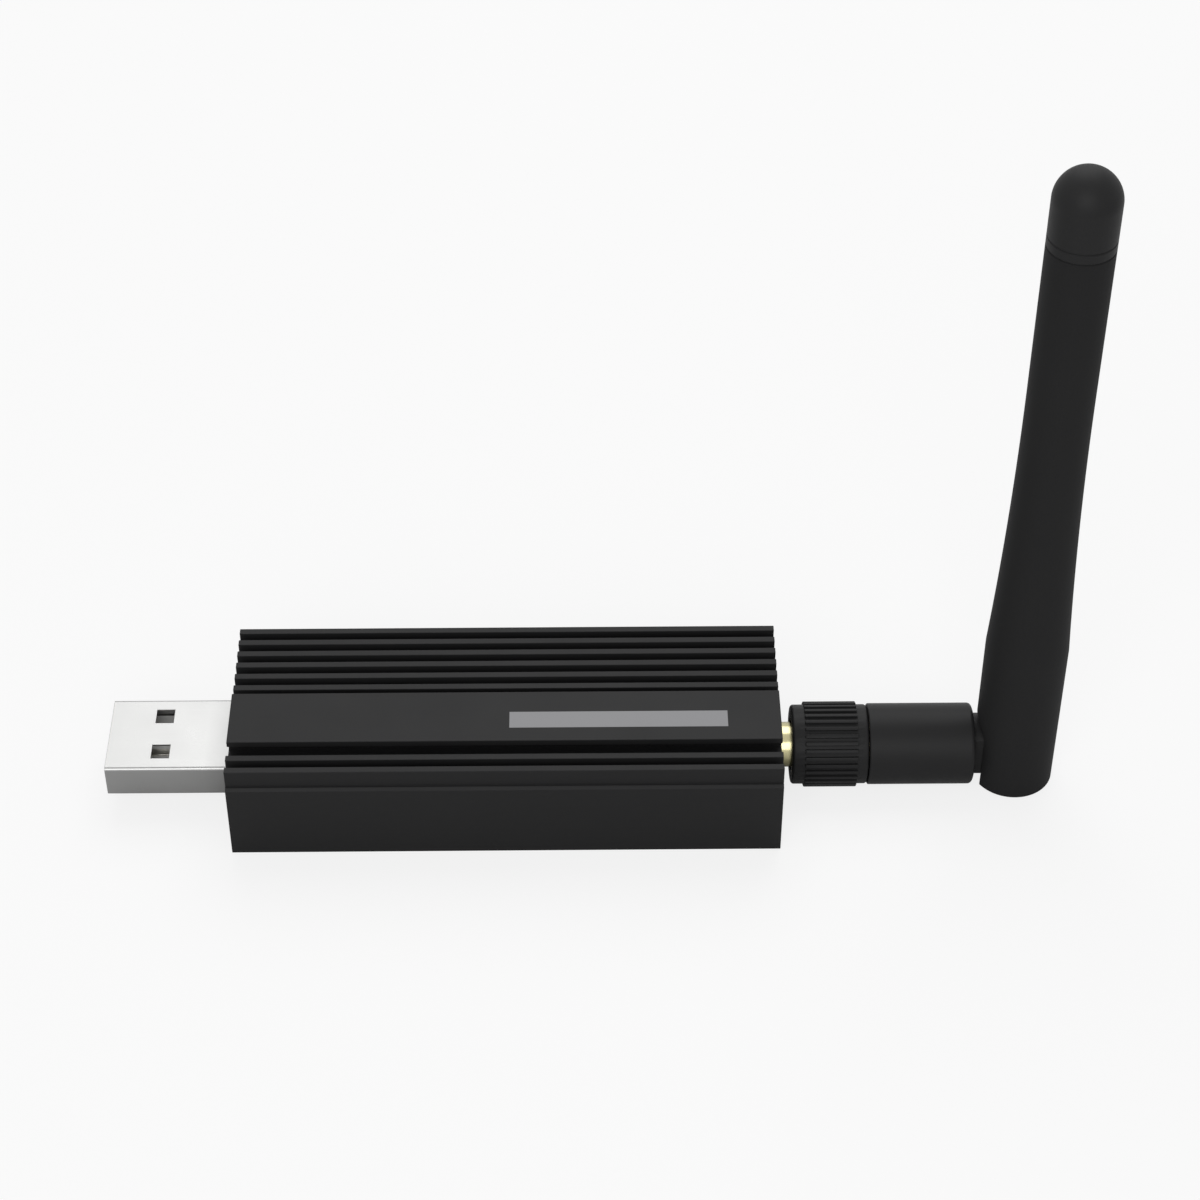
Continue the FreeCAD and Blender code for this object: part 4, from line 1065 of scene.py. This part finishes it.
class RADIOSTICK_OT_whip(bpy.types.Operator):
    """Model the tapering whip and its tip cap, and finish the radiator inside"""
    bl_idname = "radio_stick.whip"
    bl_label = "Whip antenna"

    def execute(self, context):
        antenna = settings().antenna
        sheath = self.sheath(antenna)
        break_edges(sheath, antenna.edge, SHARP_ON_ANTENNA)
        smooth(sheath)
        fit(sheath, "whip_sheath", moulded("whip resin"))
        cap = self.cap(antenna)
        smooth(cap)
        fit(cap, "tip_cap", moulded("cap resin", 0.5, 0.12))
        paint(grained("radiator brass", (0.72, 0.52, 0.26), 0.3, metallic=1.0, grain=0.1,
                      depth=0.001), "dipole_sleeve", "radiator_wire")
        return {"FINISHED"}

    def taper(self, antenna):
        """The long curved taper, as points of one arc through its foot, waist and shoulder."""
        swell = antenna.base_radius - antenna.top_radius
        foot = Vector((antenna.base_radius, antenna.flare_start))
        top = Vector((antenna.top_radius, antenna.flare_end))
        waist = Vector((antenna.top_radius + swell / 4, (foot.y + top.y) / 2))
        lift = foot.lerp(waist, 0.5)
        drop = waist.lerp(top, 0.5)
        first = Vector((-(waist - foot).y, (waist - foot).x))
        second = Vector((-(top - waist).y, (top - waist).x))
        gap = drop - lift
        share = (gap.x * second.y - gap.y * second.x) / (first.x * second.y - first.y * second.x)
        centre = lift + first * share
        start = math.degrees(math.atan2(foot.y - centre.y, foot.x - centre.x))
        end = math.degrees(math.atan2(top.y - centre.y, top.x - centre.x))
        if end - start > 180:
            end -= 360
        if start - end > 180:
            end += 360
        return arc(centre, (foot - centre).length, start, end, LONG_ARC_STEPS)

    def sheath(self, antenna):
        """The sheath with its bore, ring groove lip and hinge slot."""
        joint = antenna.joint
        top = antenna.top_radius
        base = antenna.base_radius
        outline = [(0, 0), (base - FOOT_CHAMFER, 0), (base, FOOT_CHAMFER)]
        outline += self.taper(antenna)
        outline += [(top, joint - antenna.groove_half), (top - antenna.groove_depth, joint)]
        outline += [(antenna.bore_radius, joint), (antenna.bore_radius, antenna.bore_start)]
        middle = antenna.axis_height - antenna.foot
        outline += [(antenna.coax_radius, antenna.bore_start), (antenna.coax_radius, middle),
                    (0, middle)]
        sheath = turned_z("tapered_sheath", outline)
        cut(sheath, self.passage(antenna))
        cut(sheath, self.well(antenna))
        radius = antenna.trunnion_radius + PIN_PLAY
        reach = antenna.trunnion_reach + PIN_END_PLAY
        height = antenna.axis_height
        cut(sheath, rod("trunnion holes", radius, (antenna.pivot, -reach, height),
                        (antenna.pivot, reach, height), PIN_STEPS))
        return sheath

    def passage(self, antenna):
        """The arched way in for the neck, open below: one outline drawn out along X."""
        half = antenna.slot_half
        middle = antenna.foot + antenna.slot_top - half
        low = -antenna.well_radius
        back = antenna.pivot - 2 * antenna.base_radius
        arch = arc((0, middle), half, 180, 0, ARCH_STEPS)
        outline = [(-half, low)] + arch + [(half, low)]
        piece = drawn("passage", [(back, y, z) for y, z in outline])
        edit(piece)
        bpy.ops.mesh.edge_face_add()
        bpy.ops.mesh.extrude_region_move(
            TRANSFORM_OT_translate={"value": (antenna.pivot - back, 0, 0)})
        bpy.ops.mesh.select_all(action="SELECT")
        bpy.ops.mesh.normals_make_consistent(inside=False)
        done_editing()
        return piece

    def well(self, antenna):
        """The round room with two flat sides that the knuckle turns in."""
        radius = antenna.well_radius
        low = -1.1 * radius
        top = antenna.axis_height + radius
        well = rod("well", radius, (antenna.pivot, 0, low), (antenna.pivot, 0, top))
        side = antenna.slot_half - FLAT_STEP
        reach = 2 * radius
        cut(well, block("well sides", (antenna.pivot - reach, -side, low - MM),
                        (antenna.pivot + reach, side, top + MM)), "INTERSECT")
        return well

    def cap(self, antenna):
        """The tip cap with its ring groove, rounded top and spigot."""
        radius = antenna.top_radius
        groove = radius - antenna.groove_depth
        half = antenna.groove_half
        joint = antenna.joint
        dome = antenna.tip - radius
        outline = [(0, joint - antenna.spigot), (antenna.bore_radius, joint - antenna.spigot)]
        outline += [(antenna.bore_radius, joint), (groove, joint), (radius, joint + half)]
        outline += [(radius, antenna.ring - half), (groove, antenna.ring)]
        outline += [(radius, antenna.ring + half)]
        outline += arc((0, dome), radius, 0, 90, LONG_ARC_STEPS)
        outline[-1] = (0, antenna.tip)
        return turned_z("rounded_cap", outline)


class RADIOSTICK_OT_stage(bpy.types.Operator):
    """Set up the pale floor, the soft light and the camera"""
    bl_idname = "radio_stick.stage"
    bl_label = "Stage"

    def execute(self, context):
        stage = settings().stage
        scene = context.scene
        scene.view_settings.view_transform = "Standard"
        self.floor(stage)
        self.world(scene)
        for name, place, size, power in LAMPS:
            self.lamp(name, place, size, power)
        camera = bpy.data.cameras.new("photo camera")
        camera.sensor_width = 36.0
        camera.lens = stage.lens
        camera.clip_start = 0.01
        piece = bpy.data.objects.new("photo camera", camera)
        scene.collection.objects.link(piece)
        piece.matrix_world = (Matrix.Translation(stage.camera_place)
                              @ Matrix.Rotation(stage.camera_turn, 4, "Z")
                              @ Matrix.Rotation(stage.camera_tilt, 4, "X")
                              @ Matrix.Rotation(stage.camera_roll, 4, "Z"))
        scene.camera = piece
        return {"FINISHED"}

    def floor(self, stage):
        """A wide pale floor, raised to white for the camera, that keeps the shadow."""
        bpy.ops.object.select_all(action="DESELECT")
        bpy.ops.mesh.primitive_grid_add(x_subdivisions=8, y_subdivisions=8, size=FLOOR_SIZE)
        piece = placed("studio_floor")
        material, tree, shader, place = new_material("pale floor")
        grain = use_group(tree, surface_grain_group(), place, Colour=tuple(stage.floor),
                          Grain_Size=1.0 * MM, Cloud_Size=60 * MM, Grain_Contrast=0.01,
                          Cloud_Contrast=0.01, Roughness=0.8, Roughness_Spread=0.02)
        tree.links.new(grain.outputs["Colour"], shader.inputs["Base Color"])
        tree.links.new(grain.outputs["Roughness"], shader.inputs["Roughness"])
        glow = tree.nodes.new("ShaderNodeEmission")
        glow.inputs["Color"].default_value = (1, 1, 1, 1)
        glow.inputs["Strength"].default_value = 1.0
        path = tree.nodes.new("ShaderNodeLightPath")
        seen = calculate(tree, "MULTIPLY", path.outputs["Is Camera Ray"], FLOOR_GLOW)
        mix = tree.nodes.new("ShaderNodeMixShader")
        tree.links.new(seen, mix.inputs["Fac"])
        tree.links.new(shader.outputs[0], mix.inputs[1])
        tree.links.new(glow.outputs[0], mix.inputs[2])
        output = next(n for n in tree.nodes if n.bl_idname == "ShaderNodeOutputMaterial")
        tree.links.new(mix.outputs[0], output.inputs["Surface"])
        piece.data.materials.append(material)

    def world(self, scene):
        """Soft surrounding light, white where the camera or a reflection sees it."""
        world = bpy.data.worlds.new("soft studio")
        scene.world = world
        world.use_nodes = True
        tree = world.node_tree
        tree.nodes.clear()
        path = tree.nodes.new("ShaderNodeLightPath")
        seen = calculate(tree, "MAXIMUM", path.outputs["Is Camera Ray"],
                         calculate(tree, "MAXIMUM", path.outputs["Is Glossy Ray"],
                                   path.outputs["Is Transmission Ray"]))
        strength = calculate(tree, "ADD", calculate(tree, "MULTIPLY", seen, WORLD_SEEN),
                             WORLD_LIGHT)
        background = tree.nodes.new("ShaderNodeBackground")
        output = tree.nodes.new("ShaderNodeOutputWorld")
        tree.links.new(strength, background.inputs["Strength"])
        background.inputs["Color"].default_value = (1, 1, 1, 1)
        tree.links.new(background.outputs[0], output.inputs["Surface"])

    def lamp(self, name, place, size, power):
        """A square soft lamp that looks at the stick's middle."""
        light = bpy.data.lights.new(name, "AREA")
        light.shape = "SQUARE"
        light.size = size
        light.energy = power
        piece = bpy.data.objects.new(name, light)
        bpy.context.scene.collection.objects.link(piece)
        piece.location = place
        piece.rotation_euler = (-Vector(place)).to_track_quat("-Z", "Y").to_euler()


class RADIOSTICK_PT_pieces(bpy.types.Panel):
    """Lists the pieces and the stage, each with its own button"""
    bl_idname = "RADIOSTICK_PT_pieces"
    bl_label = "Radio stick"
    bl_space_type = "VIEW_3D"
    bl_region_type = "UI"
    bl_category = "Radio stick"

    def draw(self, context):
        column = self.layout.column()
        for operator in OPERATORS:
            column.operator(operator.bl_idname)


SETTINGS = (HousingSettings, PlugSettings, JackSettings, AntennaSettings, BoardSettings,
            StageSettings, RadioStickSettings)
OPERATORS = (RADIOSTICK_OT_housing, RADIOSTICK_OT_end_plates, RADIOSTICK_OT_usb_plug,
             RADIOSTICK_OT_board, RADIOSTICK_OT_antenna_jack, RADIOSTICK_OT_coupling,
             RADIOSTICK_OT_nut_grip, RADIOSTICK_OT_swivel_barrel, RADIOSTICK_OT_whip,
             RADIOSTICK_OT_stage)


def register():
    for item in SETTINGS + OPERATORS + (RADIOSTICK_PT_pieces,):
        bpy.utils.register_class(item)
    bpy.types.Scene.radio_stick = PointerProperty(type=RadioStickSettings)


def unregister():
    del bpy.types.Scene.radio_stick
    for item in reversed(SETTINGS + OPERATORS + (RADIOSTICK_PT_pieces,)):
        bpy.utils.unregister_class(item)


def main():
    register()
    bpy.ops.radio_stick.housing()
    bpy.ops.radio_stick.end_plates()
    bpy.ops.radio_stick.usb_plug()
    bpy.ops.radio_stick.board()
    bpy.ops.radio_stick.antenna_jack()
    bpy.ops.radio_stick.coupling()
    bpy.ops.radio_stick.nut_grip()
    bpy.ops.radio_stick.swivel_barrel()
    bpy.ops.radio_stick.whip()
    bpy.ops.radio_stick.stage()


if __name__ == "__main__":
    main()
